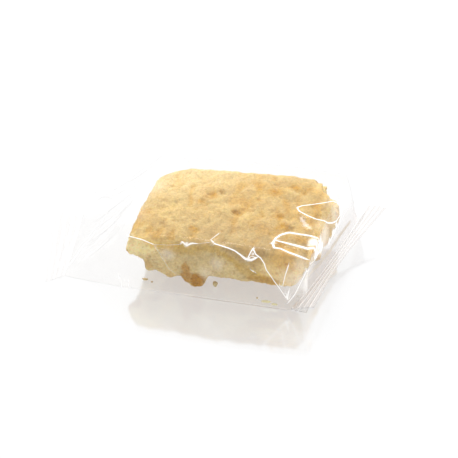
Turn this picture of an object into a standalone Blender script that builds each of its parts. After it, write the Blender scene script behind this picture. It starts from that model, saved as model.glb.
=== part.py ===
"""A small financier cake, heat sealed in a clear film pack.

Metres, +Z up, +X along the pack. The origin is on the floor under the middle of the pack. Sizes are
written in millimetres in the pack's layout, where the cake's middle is near x = 3, and the finished
pieces are then moved so that the pack is centred.
"""

import math
import random

import bmesh
import bpy
from mathutils import Vector, noise

MM = 0.001

# ---- The cake (millimetres) -------------------------------------------------------------------
CAKE_MIDDLE = (3.0, 0.7)
# Plan corners, front left and then anticlockwise: x, y and the corner's radius
CAKE_CORNERS = ((-21.3, -18.0, 3.2), (26.3, -18.0, 2.8), (27.7, 20.4, 2.6), (-21.6, 19.0, 10.0))
CORNER_ARC_STEPS = 16
CROWN_HEIGHT = 17.2      # top crust over the cake's middle
TOP_TILT = 0.035         # the cake leans forward: rise of the top for each mm towards the back
CROWN_FALL_LONG = 0.9    # how far the domed top falls from its middle to its ends
CROWN_FALL_WIDE = 1.3    # and to its front and back
BACK_LIFT = 1.6          # how far the dough rose higher towards the back right corner
BACK_LIFT_X = (-16.0, 28.0)
BACK_LIFT_Y = (2.0, 20.0)
HALF_LENGTH = 24.0
HALF_WIDTH = 18.5
TOP_EDGE_RADIUS = 2.0
SIDE_BULGE = 0.5
BELLY_HEIGHT = 0.1       # the flat spot that the cake lies on
BELLY_SPREAD = 0.42      # size of the flat spot, as a share of the plan
BELLY_BAND = 0.3         # relief this close to the flat spot is pressed flat
UNDERSIDE_POWER = 1.15   # how the underside climbs from the flat spot to the side's lower edge

# The side's torn lower edge. Each pair of x or y is where a feature starts and where it is full.
RIM_HEIGHT = 5.7
TORN_CORNER_RISE = 3.6   # how far the edge climbs at the broken front left corner
TORN_CORNER_X = (-12.5, -21.0)
TORN_CORNER_Y = (4.0, -12.0)
SAG_DEPTH = 1.2          # how far it hangs beside the flap of bottom crust
SAG_Y = (-6.0, -15.0)
SAG_RIGHT_X = (0.5, -4.0)
SAG_LEFT_X = (-12.5, -17.0)

# The broken right end slopes in at its foot in front, and out at the back
END_FLARE = (-1.6, 2.0)
END_FLARE_POWER = 1.2
END_FLARE_X = (15.0, 26.0)
END_FLARE_Y = (-18.0, 12.0)

# Rings of the cake's skin: shares of the way out underneath, up the side and out over the top
UNDERSIDE_SHARES = (0.2, BELLY_SPREAD, 0.55, 0.7, 0.85, 0.95)
SIDE_SHARES = (0.0, 0.15, 0.35, 0.55, 0.75, 1.0)
TOP_EDGE_STEPS = 4
TOP_SHARES = (0.8, 0.6, 0.4, 0.2)

# Blocks broken out of the back right corner: a thin one of the top, and a deeper one at the end.
# Each is the middle and the size.
BROKEN_STEPS = (
    ((26.4, 20.2, 17.6), (8.8, 5.6, 5.2)),
    ((29.8, 18.4, 15.2), (9.8, 11.8, 8.2)),
)
STEP_CUTS = 5
STEP_ROUGHNESS = 0.5
STEP_GRAIN = 2.3

# Pieces of crust and crumb that stand out of the torn lower edge: centre, half sizes, turn in degrees
TORN_PIECES = (
    ((-4.3, -15.7, 4.9), (2.6, 2.5, 2.7), 6.0),       # brown flap of bottom crust
    ((-9.2, -16.2, 4.6), (1.3, 1.4, 1.7), 20.0),      # small knob beside it
    ((-19.7, -15.2, 10.2), (2.2, 2.1, 2.3), -10.0),   # lump at the broken corner
    ((-14.9, -16.2, 6.4), (2.2, 1.9, 2.2), 35.0),
    ((27.0, 11.0, 10.2), (2.4, 4.8, 3.8), -8.0),      # crumb of the broken end
    ((25.9, -1.5, 8.4), (1.8, 4.4, 2.8), 14.0),
    ((18.5, -16.0, 6.4), (4.6, 1.5, 1.6), -4.0),
    ((-2.3, -15.7, 4.2), (2.1, 2.4, 2.8), 0.0),       # square lower corner of the brown flap
)
TORN_SUBDIVISIONS = 3
TORN_BLOCKINESS = 0.5    # 1 is an ellipsoid, and less is squarer
TORN_ROUGHNESS = 0.22
TORN_GRAIN = 1.4
TORN_NOISE_STEP = 3.1    # keeps the pieces unlike one another

# Dents in the crust that are large enough to see from a step away: x, y, radius, depth
CRUST_DENTS = (
    (-0.6, 5.6, 1.9, 0.8), (-4.4, 4.2, 1.6, 0.7), (-7.7, -10.6, 1.5, 0.6), (5.5, -3.2, 1.7, 1.0),
    (12.4, 12.2, 2.3, 0.8), (19.2, -1.8, 1.9, 1.0), (20.4, -7.6, 1.7, 0.9), (11.0, -9.4, 1.6, 0.6),
    (-12.8, -7.6, 1.7, 0.6), (1.3, 15.2, 1.4, 0.5),
)
PIT_COUNT = 110
PIT_SEED = 7
PIT_RADIUS = (0.7, 1.4)
PIT_DEPTH = (0.2, 0.55)
PIT_MARGIN_X = (2.0, 1.0)   # how far the pits stay from the crust's ends
PIT_MARGIN_Y = (1.5, 1.0)   # and from its front and back

CRUST_WAVES = ((5.5, 0.30), (2.4, 0.20))              # wavelength and height of the crust's swells
CRUMB_WAVES = ((6.0, 0.45), (2.9, 0.40), (1.7, 0.22))   # and of the open crumb at the sides
CRUST_NOISE = 11.0
CRUMB_NOISE = 37.0
NOISE_SPREAD = (1.0, 0.7, 1.3)
TOP_FACING = (0.45, 0.8)      # a normal's height where crumb turns to crust
UNDER_FACING = (-0.5, -0.85)  # and where the side turns to underside
UNDER_RELIEF = 0.4            # the underside's relief, as a share of the side's
RELIEF_LIMIT = 0.30           # the most that relief stands out
CAKE_GRAIN = 0.78             # size of the fused body's facets
CAKE_KEEP = 0.40              # share of those facets that is kept
SPONGE_COLOUR = (0.72, 0.47, 0.19)
SPONGE_ROUGHNESS = 0.75

# ---- The film pack (millimetres) ---------------------------------------------------------------
FILM_LAMINA = 0.7        # thickness of the sealed fins
SIDE_CLEARANCE = 1.0     # between the cake's body and the pocket that is cut round it
TOP_CLEARANCE = 0.75
POCKET_FLARE = (-1.3, 3.2)  # the pocket's wider foot at the cake's broken end, in front and at the back
POCKET_FLARE_POWER = 0.4
POCKET_LIP = 1.2         # height of the pocket's floor at its rim, beside the opening underneath
POCKET_MOUTH = 0.6
POCKET_CORNER_RADIUS = 1.4  # its front left corner is squarer, to clear the cake's lump there
FILM_COVER = 1.35        # top of the film above the crust
FILM_EDGE_RADIUS = 2.6
FLOOR_FRONT = -20.4      # where the front and back panels meet the floor
FLOOR_BACK = 24.4
WALL_LEAN = 0.5          # the panels lean in as they rise

# Each seal runs from its front end to its back end: x, y and height
LEFT_SEAL = ((-38.6, -19.4, 0.65), (-43.2, 18.0, 5.2))
LEFT_FIN_END = ((-42.6, -23.4, 0.65), (-54.0, 18.0, 3.8))
RIGHT_SEAL = ((26.0, -19.9, 0.65), (36.3, 22.2, 9.2))
RIGHT_FIN_END = ((31.0, -17.8, 0.65), (41.4, 23.8, 8.0))
RIGHT_FIN_BOW = -2.3     # the right fin's end bows in between its corners
SEAL_LIFT_POWER = 1.8    # the seals lie flat in front and lift towards the back
BASE_LIFT_POWER = 4.0    # the underside stays on the floor until close to each seal
SHOULDER_LEFT = (-23.2, -23.2)    # x of the film over the cake's ends, at the front and the back
SHOULDER_RIGHT = (28.1, 30.0)
DRAPE_POWER_LEFT = 1.3   # how hollow the film hangs from the cake's end to the seal
DRAPE_POWER_RIGHT = 1.1
GATHER_POWER = 1.5       # how soon the boxed section flattens out towards the seal
PLEATS = 4
PLEAT_HEIGHT = 0.45
PLEAT_FADE_POWER = 2
CRIMPS = 4               # ridges across each fin
CRIMP_HEIGHT = 0.25
FILM_COLOUR = (0.96, 0.96, 0.95)
FILM_ROUGHNESS = 0.08
FILM_ALPHA = 0.25

# Facets of the film
WALL_STEPS = 3
CORNER_STEPS = 3
TOP_STEPS = 12
DRAPE_STEPS = 5
BODY_STEPS = 8
STEPS_PER_CRIMP = 3
OUTLINE_POINTS = 144
POCKET_POINTS = 56


# ---- Small helpers -----------------------------------------------------------------------------
def lerp(start, end, share):
    return start + (end - start) * share


def smoothstep(low, high, value):
    share = min(1.0, max(0.0, (value - low) / (high - low)))
    return share * share * (3.0 - 2.0 * share)


def waves(place, layers, offset):
    """Smooth noise summed over (wavelength, height) layers."""
    shift = Vector([offset * spread for spread in NOISE_SPREAD])
    total = 0.0
    for wavelength, height in layers:
        total += height * noise.noise(place / wavelength + shift)
    return total


def new_material(name, colour, roughness, alpha=1.0):
    material = bpy.data.materials.new(name)
    material.use_nodes = True
    shader = material.node_tree.nodes["Principled BSDF"]
    shader.inputs["Base Color"].default_value = (*colour, 1.0)
    shader.inputs["Roughness"].default_value = roughness
    shader.inputs["Metallic"].default_value = 0.0
    shader.inputs["Alpha"].default_value = alpha
    return material


def object_from_bmesh(name, bm):
    """Make an object of a mesh in millimetres, at real size in metres."""
    bmesh.ops.recalc_face_normals(bm, faces=bm.faces)
    bmesh.ops.scale(bm, vec=(MM, MM, MM), verts=bm.verts)
    mesh = bpy.data.meshes.new(name)
    bm.to_mesh(mesh)
    bm.free()
    made = bpy.data.objects.new(name, mesh)
    bpy.context.scene.collection.objects.link(made)
    return made


def apply_modifiers(target):
    """Replace an object's mesh with the mesh that its modifiers make."""
    evaluated = target.evaluated_get(bpy.context.evaluated_depsgraph_get())
    target.data = bpy.data.meshes.new_from_object(evaluated)
    target.modifiers.clear()


def loft_closed(bm, rings):
    """Skin a stack of closed rings of equal length, whose first and last are filled."""
    loops = [[bm.verts.new(place) for place in ring] for ring in rings]
    count = len(loops[0])
    for lower, upper in zip(loops, loops[1:]):
        for i in range(count):
            j = (i + 1) % count
            bm.faces.new((lower[i], lower[j], upper[j], upper[i]))
    for loop in (loops[0], loops[-1]):
        centre = bm.verts.new(sum((v.co for v in loop), Vector()) / count)
        for i in range(count):
            bm.faces.new((loop[i], loop[(i + 1) % count], centre))


# ---- The cake ----------------------------------------------------------------------------------
def rounded_outline(corners, points, grow):
    """Points and outward directions, evenly spaced round a polygon with rounded corners."""
    fine = []
    count = len(corners)
    for i, (x, y, radius) in enumerate(corners):
        here = Vector((x, y))
        before = (Vector(corners[i - 1][:2]) - here).normalized()
        after = (Vector(corners[(i + 1) % count][:2]) - here).normalized()
        half = before.angle(after) / 2.0
        centre = here + (before + after).normalized() * radius / math.sin(half)
        first = (here + before * radius / math.tan(half)) - centre
        sweep = math.pi - 2.0 * half
        for step in range(CORNER_ARC_STEPS + 1):
            turn = sweep * step / CORNER_ARC_STEPS
            arm = Vector((first.x * math.cos(turn) - first.y * math.sin(turn),
                          first.x * math.sin(turn) + first.y * math.cos(turn)))
            fine.append((centre + arm * (radius + grow) / radius, arm.normalized()))
    lengths = [(fine[(i + 1) % len(fine)][0] - fine[i][0]).length for i in range(len(fine))]
    total = sum(lengths)
    outline = []
    walked = 0.0
    index = 0
    for k in range(points):
        goal = total * k / points
        while walked + lengths[index] < goal:
            walked += lengths[index]
            index += 1
        share = (goal - walked) / lengths[index]
        start, end = fine[index], fine[(index + 1) % len(fine)]
        outline.append((start[0].lerp(end[0], share), start[1].lerp(end[1], share).normalized()))
    return outline


def top_height(x, y):
    """The crust's top: a low dome that leans forward and rises towards its back right corner."""
    along = (x - CAKE_MIDDLE[0]) / HALF_LENGTH
    across = y / HALF_WIDTH
    dome = CROWN_FALL_LONG * along * along + CROWN_FALL_WIDE * across * across
    rightward = min(1.0, max(0.0, (x - BACK_LIFT_X[0]) / (BACK_LIFT_X[1] - BACK_LIFT_X[0])))
    lift = BACK_LIFT * rightward * smoothstep(*BACK_LIFT_Y, y)
    return CROWN_HEIGHT + TOP_TILT * y - dome + lift


def rim_height(x, y):
    """Height of the torn lower edge of the side."""
    corner = smoothstep(*TORN_CORNER_X, x) * smoothstep(*TORN_CORNER_Y, y)
    sag = smoothstep(*SAG_Y, y) * smoothstep(*SAG_RIGHT_X, x) * (1.0 - smoothstep(*SAG_LEFT_X, x))
    return RIM_HEIGHT + TORN_CORNER_RISE * corner - SAG_DEPTH * sag


def end_flare(x, y, share, pocket):
    """How far the broken right end stands out, from its foot (share 0) to the crust (share 1)."""
    at_end = smoothstep(*END_FLARE_X, x)
    reach = lerp(*(POCKET_FLARE if pocket else END_FLARE), smoothstep(*END_FLARE_Y, y))
    return at_end * reach * (1.0 - share) ** (POCKET_FLARE_POWER if pocket else END_FLARE_POWER)


def cake_rings(points, pocket):
    """Rings from the belly's middle, up the side and over the crust, of the cake or its pocket."""
    grow, cover = (SIDE_CLEARANCE, TOP_CLEARANCE) if pocket else (0.0, 0.0)
    spread = POCKET_MOUTH if pocket else BELLY_SPREAD
    bottom = -SIDE_CLEARANCE if pocket else BELLY_HEIGHT
    corners = list(CAKE_CORNERS)
    if pocket:
        corners[0] = (*corners[0][:2], POCKET_CORNER_RADIUS)
    outline = rounded_outline(corners, points, grow)
    middle = Vector(CAKE_MIDDLE)
    rings = []
    for share in UNDERSIDE_SHARES:
        ring = []
        for place, _ in outline:
            foot = POCKET_LIP if pocket else rim_height(*place)
            climb = max(0.0, (share - spread) / (1.0 - spread)) ** UNDERSIDE_POWER
            flare = Vector((end_flare(*place, 0.0, pocket) * share, 0.0))
            spot = middle.lerp(place, share) + flare
            ring.append((spot.x, spot.y, lerp(bottom, foot, climb)))
        rings.append(ring)
    for share in SIDE_SHARES:
        ring = []
        for place, outward in outline:
            foot = POCKET_LIP if pocket else rim_height(*place)
            shoulder = top_height(*place) - TOP_EDGE_RADIUS
            bulge = SIDE_BULGE * math.sin(math.pi * share)
            spot = place + outward * bulge
            flare = end_flare(*place, share, pocket)
            ring.append((spot.x + flare, spot.y, lerp(foot, shoulder, share)))
        rings.append(ring)
    for step in range(1, TOP_EDGE_STEPS + 1):
        turn = math.pi / 2 * step / TOP_EDGE_STEPS
        ring = []
        for place, outward in outline:
            spot = place - outward * (TOP_EDGE_RADIUS + grow) * (1.0 - math.cos(turn))
            drop = (TOP_EDGE_RADIUS + cover) * (1.0 - math.sin(turn))
            ring.append((spot.x, spot.y, top_height(*spot) + cover - drop))
        rings.append(ring)
    crust_edge = rings[-1]
    for share in TOP_SHARES:
        ring = []
        for x, y, _ in crust_edge:
            spot = middle.lerp(Vector((x, y)), share)
            ring.append((spot.x, spot.y, top_height(*spot) + cover))
        rings.append(ring)
    return rings


def cake_body(name, points, pocket=False):
    bm = bmesh.new()
    loft_closed(bm, cake_rings(points, pocket))
    return object_from_bmesh(name, bm)


def torn_piece(index, centre, half_sizes, turn):
    """A rough lump of crumb or crust."""
    bm = bmesh.new()
    bmesh.ops.create_icosphere(bm, subdivisions=TORN_SUBDIVISIONS, radius=1.0)
    angle = math.radians(turn)
    shift = Vector((index * TORN_NOISE_STEP, 0.0, 0.0))
    for vert in bm.verts:
        blocky = Vector([math.copysign(abs(c) ** TORN_BLOCKINESS, c) for c in vert.co])
        rough = 1.0 + TORN_ROUGHNESS * noise.noise(vert.co * TORN_GRAIN + shift)
        x, y, z = (blocky[k] * half_sizes[k] * rough for k in range(3))
        vert.co = (centre[0] + x * math.cos(angle) - y * math.sin(angle),
                   centre[1] + x * math.sin(angle) + y * math.cos(angle),
                   centre[2] + z)
    return object_from_bmesh(f"torn_piece_{index}", bm)


def broken_step(index, middle, size):
    """A block that has come away from the back right corner, with an uneven face."""
    bm = bmesh.new()
    bmesh.ops.create_cube(bm, size=2.0)
    bmesh.ops.subdivide_edges(bm, edges=bm.edges, cuts=STEP_CUTS, use_grid_fill=True)
    for vert in bm.verts:
        rough = STEP_ROUGHNESS * noise.noise(vert.co * STEP_GRAIN)
        vert.co = Vector([middle[k] + vert.co[k] * size[k] / 2.0 + rough for k in range(3)])
    return object_from_bmesh(f"broken_step_{index}", bm)


def join_with_boolean(target, operation, pieces):
    """One Boolean on a collection of pieces, applied, with the pieces then removed."""
    group = bpy.data.collections.new(f"{target.name}_{operation.lower()}")
    bpy.context.scene.collection.children.link(group)
    for piece in pieces:
        group.objects.link(piece)
    cut = target.modifiers.new(operation.title(), "BOOLEAN")
    cut.operation = operation
    cut.operand_type = "COLLECTION"
    cut.collection = group
    cut.solver = "EXACT"
    apply_modifiers(target)
    for piece in pieces:
        bpy.data.objects.remove(piece, do_unlink=True)
    bpy.data.collections.remove(group)


def crust_pits():
    """Small pits scattered over the crust: x, y, radius, depth."""
    draw = random.Random(PIT_SEED)
    left, right = CAKE_CORNERS[0][0] + PIT_MARGIN_X[0], CAKE_CORNERS[1][0] - PIT_MARGIN_X[1]
    front, back = -HALF_WIDTH + PIT_MARGIN_Y[0], HALF_WIDTH - PIT_MARGIN_Y[1]
    pits = list(CRUST_DENTS)
    for _ in range(PIT_COUNT):
        x = draw.uniform(left, right)
        y = draw.uniform(front, back)
        pits.append((x, y, draw.uniform(*PIT_RADIUS), draw.uniform(*PIT_DEPTH)))
    return pits


def relief(place, normal, pits):
    """How far the surface moves out along its normal, in millimetres."""
    on_top = smoothstep(*TOP_FACING, normal.z)
    under = smoothstep(*UNDER_FACING, normal.z)
    crust = waves(place, CRUST_WAVES, CRUST_NOISE)
    for x, y, radius, depth in pits:
        reach = math.hypot(place.x - x, place.y - y) / radius
        if reach < 1.0:
            crust -= depth * (1.0 - reach * reach) ** 2
    crumb = waves(place, CRUMB_WAVES, CRUMB_NOISE)
    side = lerp(crumb, UNDER_RELIEF * crumb, under)
    return min(lerp(side, crust, on_top), RELIEF_LIMIT)


def make_cake():
    cake = cake_body("cake", OUTLINE_POINTS)
    pieces = [torn_piece(i, *values) for i, values in enumerate(TORN_PIECES)]
    join_with_boolean(cake, "UNION", pieces)
    steps = [broken_step(i, *values) for i, values in enumerate(BROKEN_STEPS)]
    join_with_boolean(cake, "DIFFERENCE", steps)
    fuse = cake.modifiers.new("Even facets", "REMESH")
    fuse.mode = "VOXEL"
    fuse.voxel_size = CAKE_GRAIN * MM
    apply_modifiers(cake)
    pits = crust_pits()
    mesh = cake.data
    moves = []
    for vert in mesh.vertices:
        place = vert.co / MM
        moves.append(vert.normal * relief(place, vert.normal, pits))
    for vert, move in zip(mesh.vertices, moves):
        place = vert.co / MM + move
        if place.z < BELLY_HEIGHT + BELLY_BAND:
            place.z = BELLY_HEIGHT
        vert.co = place * MM
    thin = cake.modifiers.new("Fewer facets", "DECIMATE")
    thin.decimate_type = "COLLAPSE"
    thin.ratio = CAKE_KEEP
    thin.use_collapse_triangulate = True
    cake.data.materials.clear()
    cake.data.materials.append(new_material("golden_sponge", SPONGE_COLOUR, SPONGE_ROUGHNESS))
    return cake


# ---- The film pack -----------------------------------------------------------------------------
def along_line(line, share):
    """A point on a seal, which lifts off the floor towards its back end."""
    (x0, y0, z0), (x1, y1, z1) = line
    return Vector((lerp(x0, x1, share), lerp(y0, y1, share), lerp(z0, z1, share ** SEAL_LIFT_POWER)))


def section_shape():
    """Shares across and up of the section's top side, from front panel to back panel."""
    width = FLOOR_BACK - FLOOR_FRONT
    corner = FILM_EDGE_RADIUS / CROWN_HEIGHT
    half = []
    for step in range(WALL_STEPS):
        share = step / WALL_STEPS
        half.append((WALL_LEAN / width * share, (1.0 - corner) * share))
    for step in range(CORNER_STEPS):
        turn = math.pi / 2 * step / CORNER_STEPS
        inward = WALL_LEAN + FILM_EDGE_RADIUS * (1.0 - math.cos(turn))
        half.append((inward / width, 1.0 - corner * (1.0 - math.sin(turn))))
    edge = (WALL_LEAN + FILM_EDGE_RADIUS) / width
    top = [(lerp(edge, 1.0 - edge, step / TOP_STEPS), 1.0) for step in range(TOP_STEPS + 1)]
    return half + top + [(1.0 - across, up) for across, up in reversed(half)]


def film_height(x, y):
    """The film over the cake."""
    return top_height(x, max(-HALF_WIDTH, min(HALF_WIDTH, y))) + FILM_COVER


def body_row(reach, left):
    """One section of the pack from shoulder (reach 0) to seal (reach 1), at one end."""
    seal = LEFT_SEAL if left else RIGHT_SEAL
    shoulder = SHOULDER_LEFT if left else SHOULDER_RIGHT
    power = DRAPE_POWER_LEFT if left else DRAPE_POWER_RIGHT
    shape = section_shape()
    count = len(shape) - 1
    gather = reach ** GATHER_POWER

    def spot(across):
        end = along_line(seal, across)
        x = lerp(lerp(*shoulder, across), end.x, reach)
        y = lerp(lerp(FLOOR_FRONT, FLOOR_BACK, across), end.y, reach)
        return Vector((x, y)), end.z - FILM_LAMINA / 2

    top, bottom = [], []
    for i, (across, up) in enumerate(shape):
        across = lerp(across, i / count, gather)
        place, seal_foot = spot(across)
        base = seal_foot * reach ** BASE_LIFT_POWER
        crest = film_height(lerp(*shoulder, across), place.y)
        hang = (1.0 - reach) ** power
        fade = math.sin(math.pi * reach) ** PLEAT_FADE_POWER
        pleat = PLEAT_HEIGHT * math.cos(2 * math.pi * PLEATS * across) * fade
        full = lerp(seal_foot + FILM_LAMINA, crest, hang) + pleat
        low = base + FILM_LAMINA
        top.append((place.x, place.y, lerp(low, max(low, full), up)))
    for i in range(count // 2 + 1):
        place, seal_foot = spot(2 * i / count)
        bottom.append((place.x, place.y, seal_foot * reach ** BASE_LIFT_POWER))
    return top, bottom


def middle_row(share):
    """One section of the pack over the cake, from the left shoulder to the right one."""
    shape = section_shape()
    count = len(shape) - 1
    top, bottom = [], []
    for across, up in shape:
        x = lerp(lerp(*SHOULDER_LEFT, across), lerp(*SHOULDER_RIGHT, across), share)
        y = lerp(FLOOR_FRONT, FLOOR_BACK, across)
        top.append((x, y, lerp(FILM_LAMINA, film_height(x, y), up)))
    for i in range(count // 2 + 1):
        across = 2 * i / count
        x = lerp(lerp(*SHOULDER_LEFT, across), lerp(*SHOULDER_RIGHT, across), share)
        bottom.append((x, lerp(FLOOR_FRONT, FLOOR_BACK, across), 0.0))
    return top, bottom


def fin_row(reach, left):
    """One line across a fin, from the seal (reach 0) to the fin's end (reach 1)."""
    seal = LEFT_SEAL if left else RIGHT_SEAL
    end = LEFT_FIN_END if left else RIGHT_FIN_END
    bow = 0.0 if left else RIGHT_FIN_BOW
    count = 2 * (WALL_STEPS + CORNER_STEPS) + TOP_STEPS
    ridge = CRIMP_HEIGHT * math.sin(2 * math.pi * CRIMPS * reach)

    def spot(across):
        place = along_line(seal, across).lerp(along_line(end, across), reach)
        place.x += bow * math.sin(math.pi * across) * reach
        place.z += ridge
        return place

    rise = Vector((0.0, 0.0, FILM_LAMINA / 2))
    top = [tuple(spot(i / count) + rise) for i in range(count + 1)]
    bottom = [tuple(spot(2 * i / count) - rise) for i in range(count // 2 + 1)]
    return top, bottom


def film_rows():
    """All sections of the pack, from the end of the left fin to the end of the right fin."""
    fin_steps = CRIMPS * STEPS_PER_CRIMP
    rows = [fin_row(1.0 - i / fin_steps, True) for i in range(fin_steps)]
    rows += [body_row(1.0 - i / DRAPE_STEPS, True) for i in range(DRAPE_STEPS)]
    rows += [middle_row(i / BODY_STEPS) for i in range(BODY_STEPS + 1)]
    rows += [body_row((i + 1) / DRAPE_STEPS, False) for i in range(DRAPE_STEPS)]
    rows += [fin_row((i + 1) / fin_steps, False) for i in range(fin_steps)]
    return rows


def skin_film(bm, rows):
    """Top, bottom, front edge, back edge and both ends of the pack."""
    tops = [[bm.verts.new(place) for place in top] for top, _ in rows]
    bottoms = [[bm.verts.new(place) for place in bottom] for _, bottom in rows]
    for sheet in (tops, bottoms):
        for row, following in zip(sheet, sheet[1:]):
            for i in range(len(row) - 1):
                bm.faces.new((row[i], row[i + 1], following[i + 1], following[i]))
    for n in range(len(rows) - 1):
        for side in (0, -1):
            bm.faces.new((tops[n][side], tops[n + 1][side], bottoms[n + 1][side], bottoms[n][side]))
    for end in (0, -1):
        top, bottom = tops[end], bottoms[end]
        for i in range(len(bottom) - 1):
            bm.faces.new((bottom[i], top[2 * i], top[2 * i + 1]))
            bm.faces.new((bottom[i], top[2 * i + 1], bottom[i + 1]))
            bm.faces.new((bottom[i + 1], top[2 * i + 1], top[2 * i + 2]))


def make_film_pack():
    bm = bmesh.new()
    skin_film(bm, film_rows())
    bmesh.ops.triangulate(bm, faces=bm.faces)
    pack = object_from_bmesh("film_pack", bm)
    join_with_boolean(pack, "DIFFERENCE", [cake_body("pocket", POCKET_POINTS, True)])
    pack.data.materials.clear()
    pack.data.materials.append(new_material("clear_film", FILM_COLOUR, FILM_ROUGHNESS, FILM_ALPHA))
    return pack


# ---- Assembly ----------------------------------------------------------------------------------
def centre_on_floor(pieces, pack):
    """Move the pieces so that the pack's box is centred over the origin."""
    corners = [vert.co for vert in pack.data.vertices]
    middle_x = (min(c.x for c in corners) + max(c.x for c in corners)) / 2.0
    middle_y = (min(c.y for c in corners) + max(c.y for c in corners)) / 2.0
    for piece in pieces:
        piece.location = (-middle_x, -middle_y, 0.0)


def main():
    for old in list(bpy.data.objects):
        bpy.data.objects.remove(old, do_unlink=True)
    cake = make_cake()
    pack = make_film_pack()
    centre_on_floor((cake, pack), pack)


main()
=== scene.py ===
"""Looks of a small financier cake that is heat sealed in a clear film pack.

Shapes are worked out in millimetres in the pack's layout, where the cake's middle is near x = 3, and
are moved to the frame's own place when each mesh is made.
"""

import math
import random

import bmesh
import bpy
import numpy as np
from bpy.props import FloatProperty, FloatVectorProperty, IntProperty, PointerProperty
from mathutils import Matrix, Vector, noise


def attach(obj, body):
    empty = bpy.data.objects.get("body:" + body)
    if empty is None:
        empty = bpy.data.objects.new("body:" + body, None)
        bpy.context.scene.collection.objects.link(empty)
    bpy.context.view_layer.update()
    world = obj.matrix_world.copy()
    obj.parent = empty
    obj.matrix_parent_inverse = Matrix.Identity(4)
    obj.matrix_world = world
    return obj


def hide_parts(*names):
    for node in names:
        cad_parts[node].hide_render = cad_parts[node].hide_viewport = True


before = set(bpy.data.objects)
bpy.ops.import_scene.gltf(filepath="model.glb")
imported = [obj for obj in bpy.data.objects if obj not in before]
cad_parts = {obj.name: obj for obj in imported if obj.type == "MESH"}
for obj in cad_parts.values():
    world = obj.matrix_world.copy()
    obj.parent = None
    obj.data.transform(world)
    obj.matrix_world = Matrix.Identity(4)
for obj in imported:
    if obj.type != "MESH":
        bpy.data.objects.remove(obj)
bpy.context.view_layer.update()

bl_info = {
    "name": "Wrapped Financier",
    "version": (1, 0, 0),
    "blender": (4, 5, 0),
    "location": "View3D > Sidebar > Financier",
    "description": "A small financier cake sealed in a clear film pack",
    "category": "Add Mesh",
}

MM = 0.001
LAYOUT_SHIFT = (6.3, -0.5, 0.0)     # from the pack's layout to the frame, in millimetres
BODY = "root"

# ---- The stage (metres in the frame) --------------------------------------------------------------
FLOOR_GAP = 0.00005                 # keeps the floor clear of the film that lies on it
AIM = (0.0085, -0.0005, 0.0095)     # what the camera and the lights point at
KEY_PLACE = (-0.20, 0.35, 0.38)
KEY_SIZE = (0.24, 0.24)
GLINT_PLACE = (-0.10, 0.22, 0.50)
GLINT_SIZE = (0.16, 0.07)
GLINT_SHARE = 0.04                  # of the key light's power

# ---- The cake (millimetres in the layout) -------------------------------------------------------
CAKE_MIDDLE = (3.0, 0.7)
CROWN_HEIGHT = 17.2
TOP_TILT = 0.035
CROWN_FALL_LONG = 0.9
CROWN_FALL_WIDE = 1.3
BACK_LIFT = 1.6
BACK_LIFT_X = (-16.0, 28.0)
BACK_LIFT_Y = (2.0, 20.0)
HALF_LENGTH = 24.0
HALF_WIDTH = 18.5
BELLY_HEIGHT = 0.1

# Lower edge of the crust along the front side: x, and its height there
CRUST_LINE = ((-21.0, 14.6), (-15.5, 13.9), (-9.0, 13.9), (-2.0, 14.6), (3.0, 14.9), (5.5, 13.9),
              (8.5, 11.9), (12.5, 9.9), (16.0, 8.5), (20.0, 7.2), (28.0, 6.6))
# Thickness of the brown band under that edge
BAND_DEPTH = ((-21.0, 0.3), (-15.5, 1.0), (-11.0, 2.6), (-2.0, 2.9), (3.0, 1.9), (8.5, 2.6),
              (14.0, 3.0), (20.0, 2.0), (28.0, 0.8))
# Pits in the crust: x, y, radius, depth
CRUST_PITS = (
    (4.4, -2.9, 0.95, 0.75), (-5.1, -12.2, 0.8, 0.4), (-12.4, -9.5, 1.0, 0.35), (-9.0, 12.5, 0.7, 0.35),
    (-15.3, 6.6, 0.8, 0.3), (-5.3, 8.4, 0.8, 0.35), (3.3, -12.1, 0.8, 0.4), (-6.0, -3.6, 0.9, 0.35),
    (7.5, 12.5, 1.0, 0.55), (9.4, 4.3, 0.9, 0.5), (9.2, -1.3, 0.8, 0.45), (12.2, -3.1, 0.8, 0.45),
    (10.6, -8.0, 0.9, 0.45), (21.0, -6.3, 1.0, 0.45), (-5.4, -0.1, 1.1, 0.45), (-4.7, 2.2, 1.0, 0.5),
    (-3.4, 4.3, 1.1, 0.5), (-1.4, 6.4, 1.0, 0.45), (16.6, -1.5, 1.3, 0.7), (18.1, -6.0, 1.2, 0.55),
)
# Browner patches of the crust: x, y, radius, strength
TOASTED = (
    (12.8, 9.2, 3.8, 1.0), (17.6, 12.8, 2.8, 1.0), (16.4, -1.8, 2.4, 1.0), (18.3, -6.4, 2.8, 1.0),
    (24.0, -10.7, 2.3, 0.8), (18.6, -13.5, 3.2, 0.7), (22.6, -14.9, 2.4, 0.6), (24.4, 6.5, 2.6, 0.6),
    (26.0, 2.6, 2.6, 0.5), (-3.4, 3.8, 2.8, 0.75), (-5.2, 0.0, 2.2, 0.6), (4.4, -2.9, 1.5, 0.4),
    (14.0, -9.0, 3.6, 0.45), (-20.5, 2.0, 3.0, 0.35), (-20.0, -8.0, 3.0, 0.3), (9.4, 4.3, 2.0, 0.5),
    (8.2, 10.8, 2.7, 0.9), (-4.4, -12.5, 2.1, 0.9), (10.2, -7.1, 2.2, 0.35), (21.5, -1.0, 3.0, 0.4),
    (20.5, -18.0, 5.0, 0.45), (13.5, -18.5, 2.5, 0.3),
)
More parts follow.
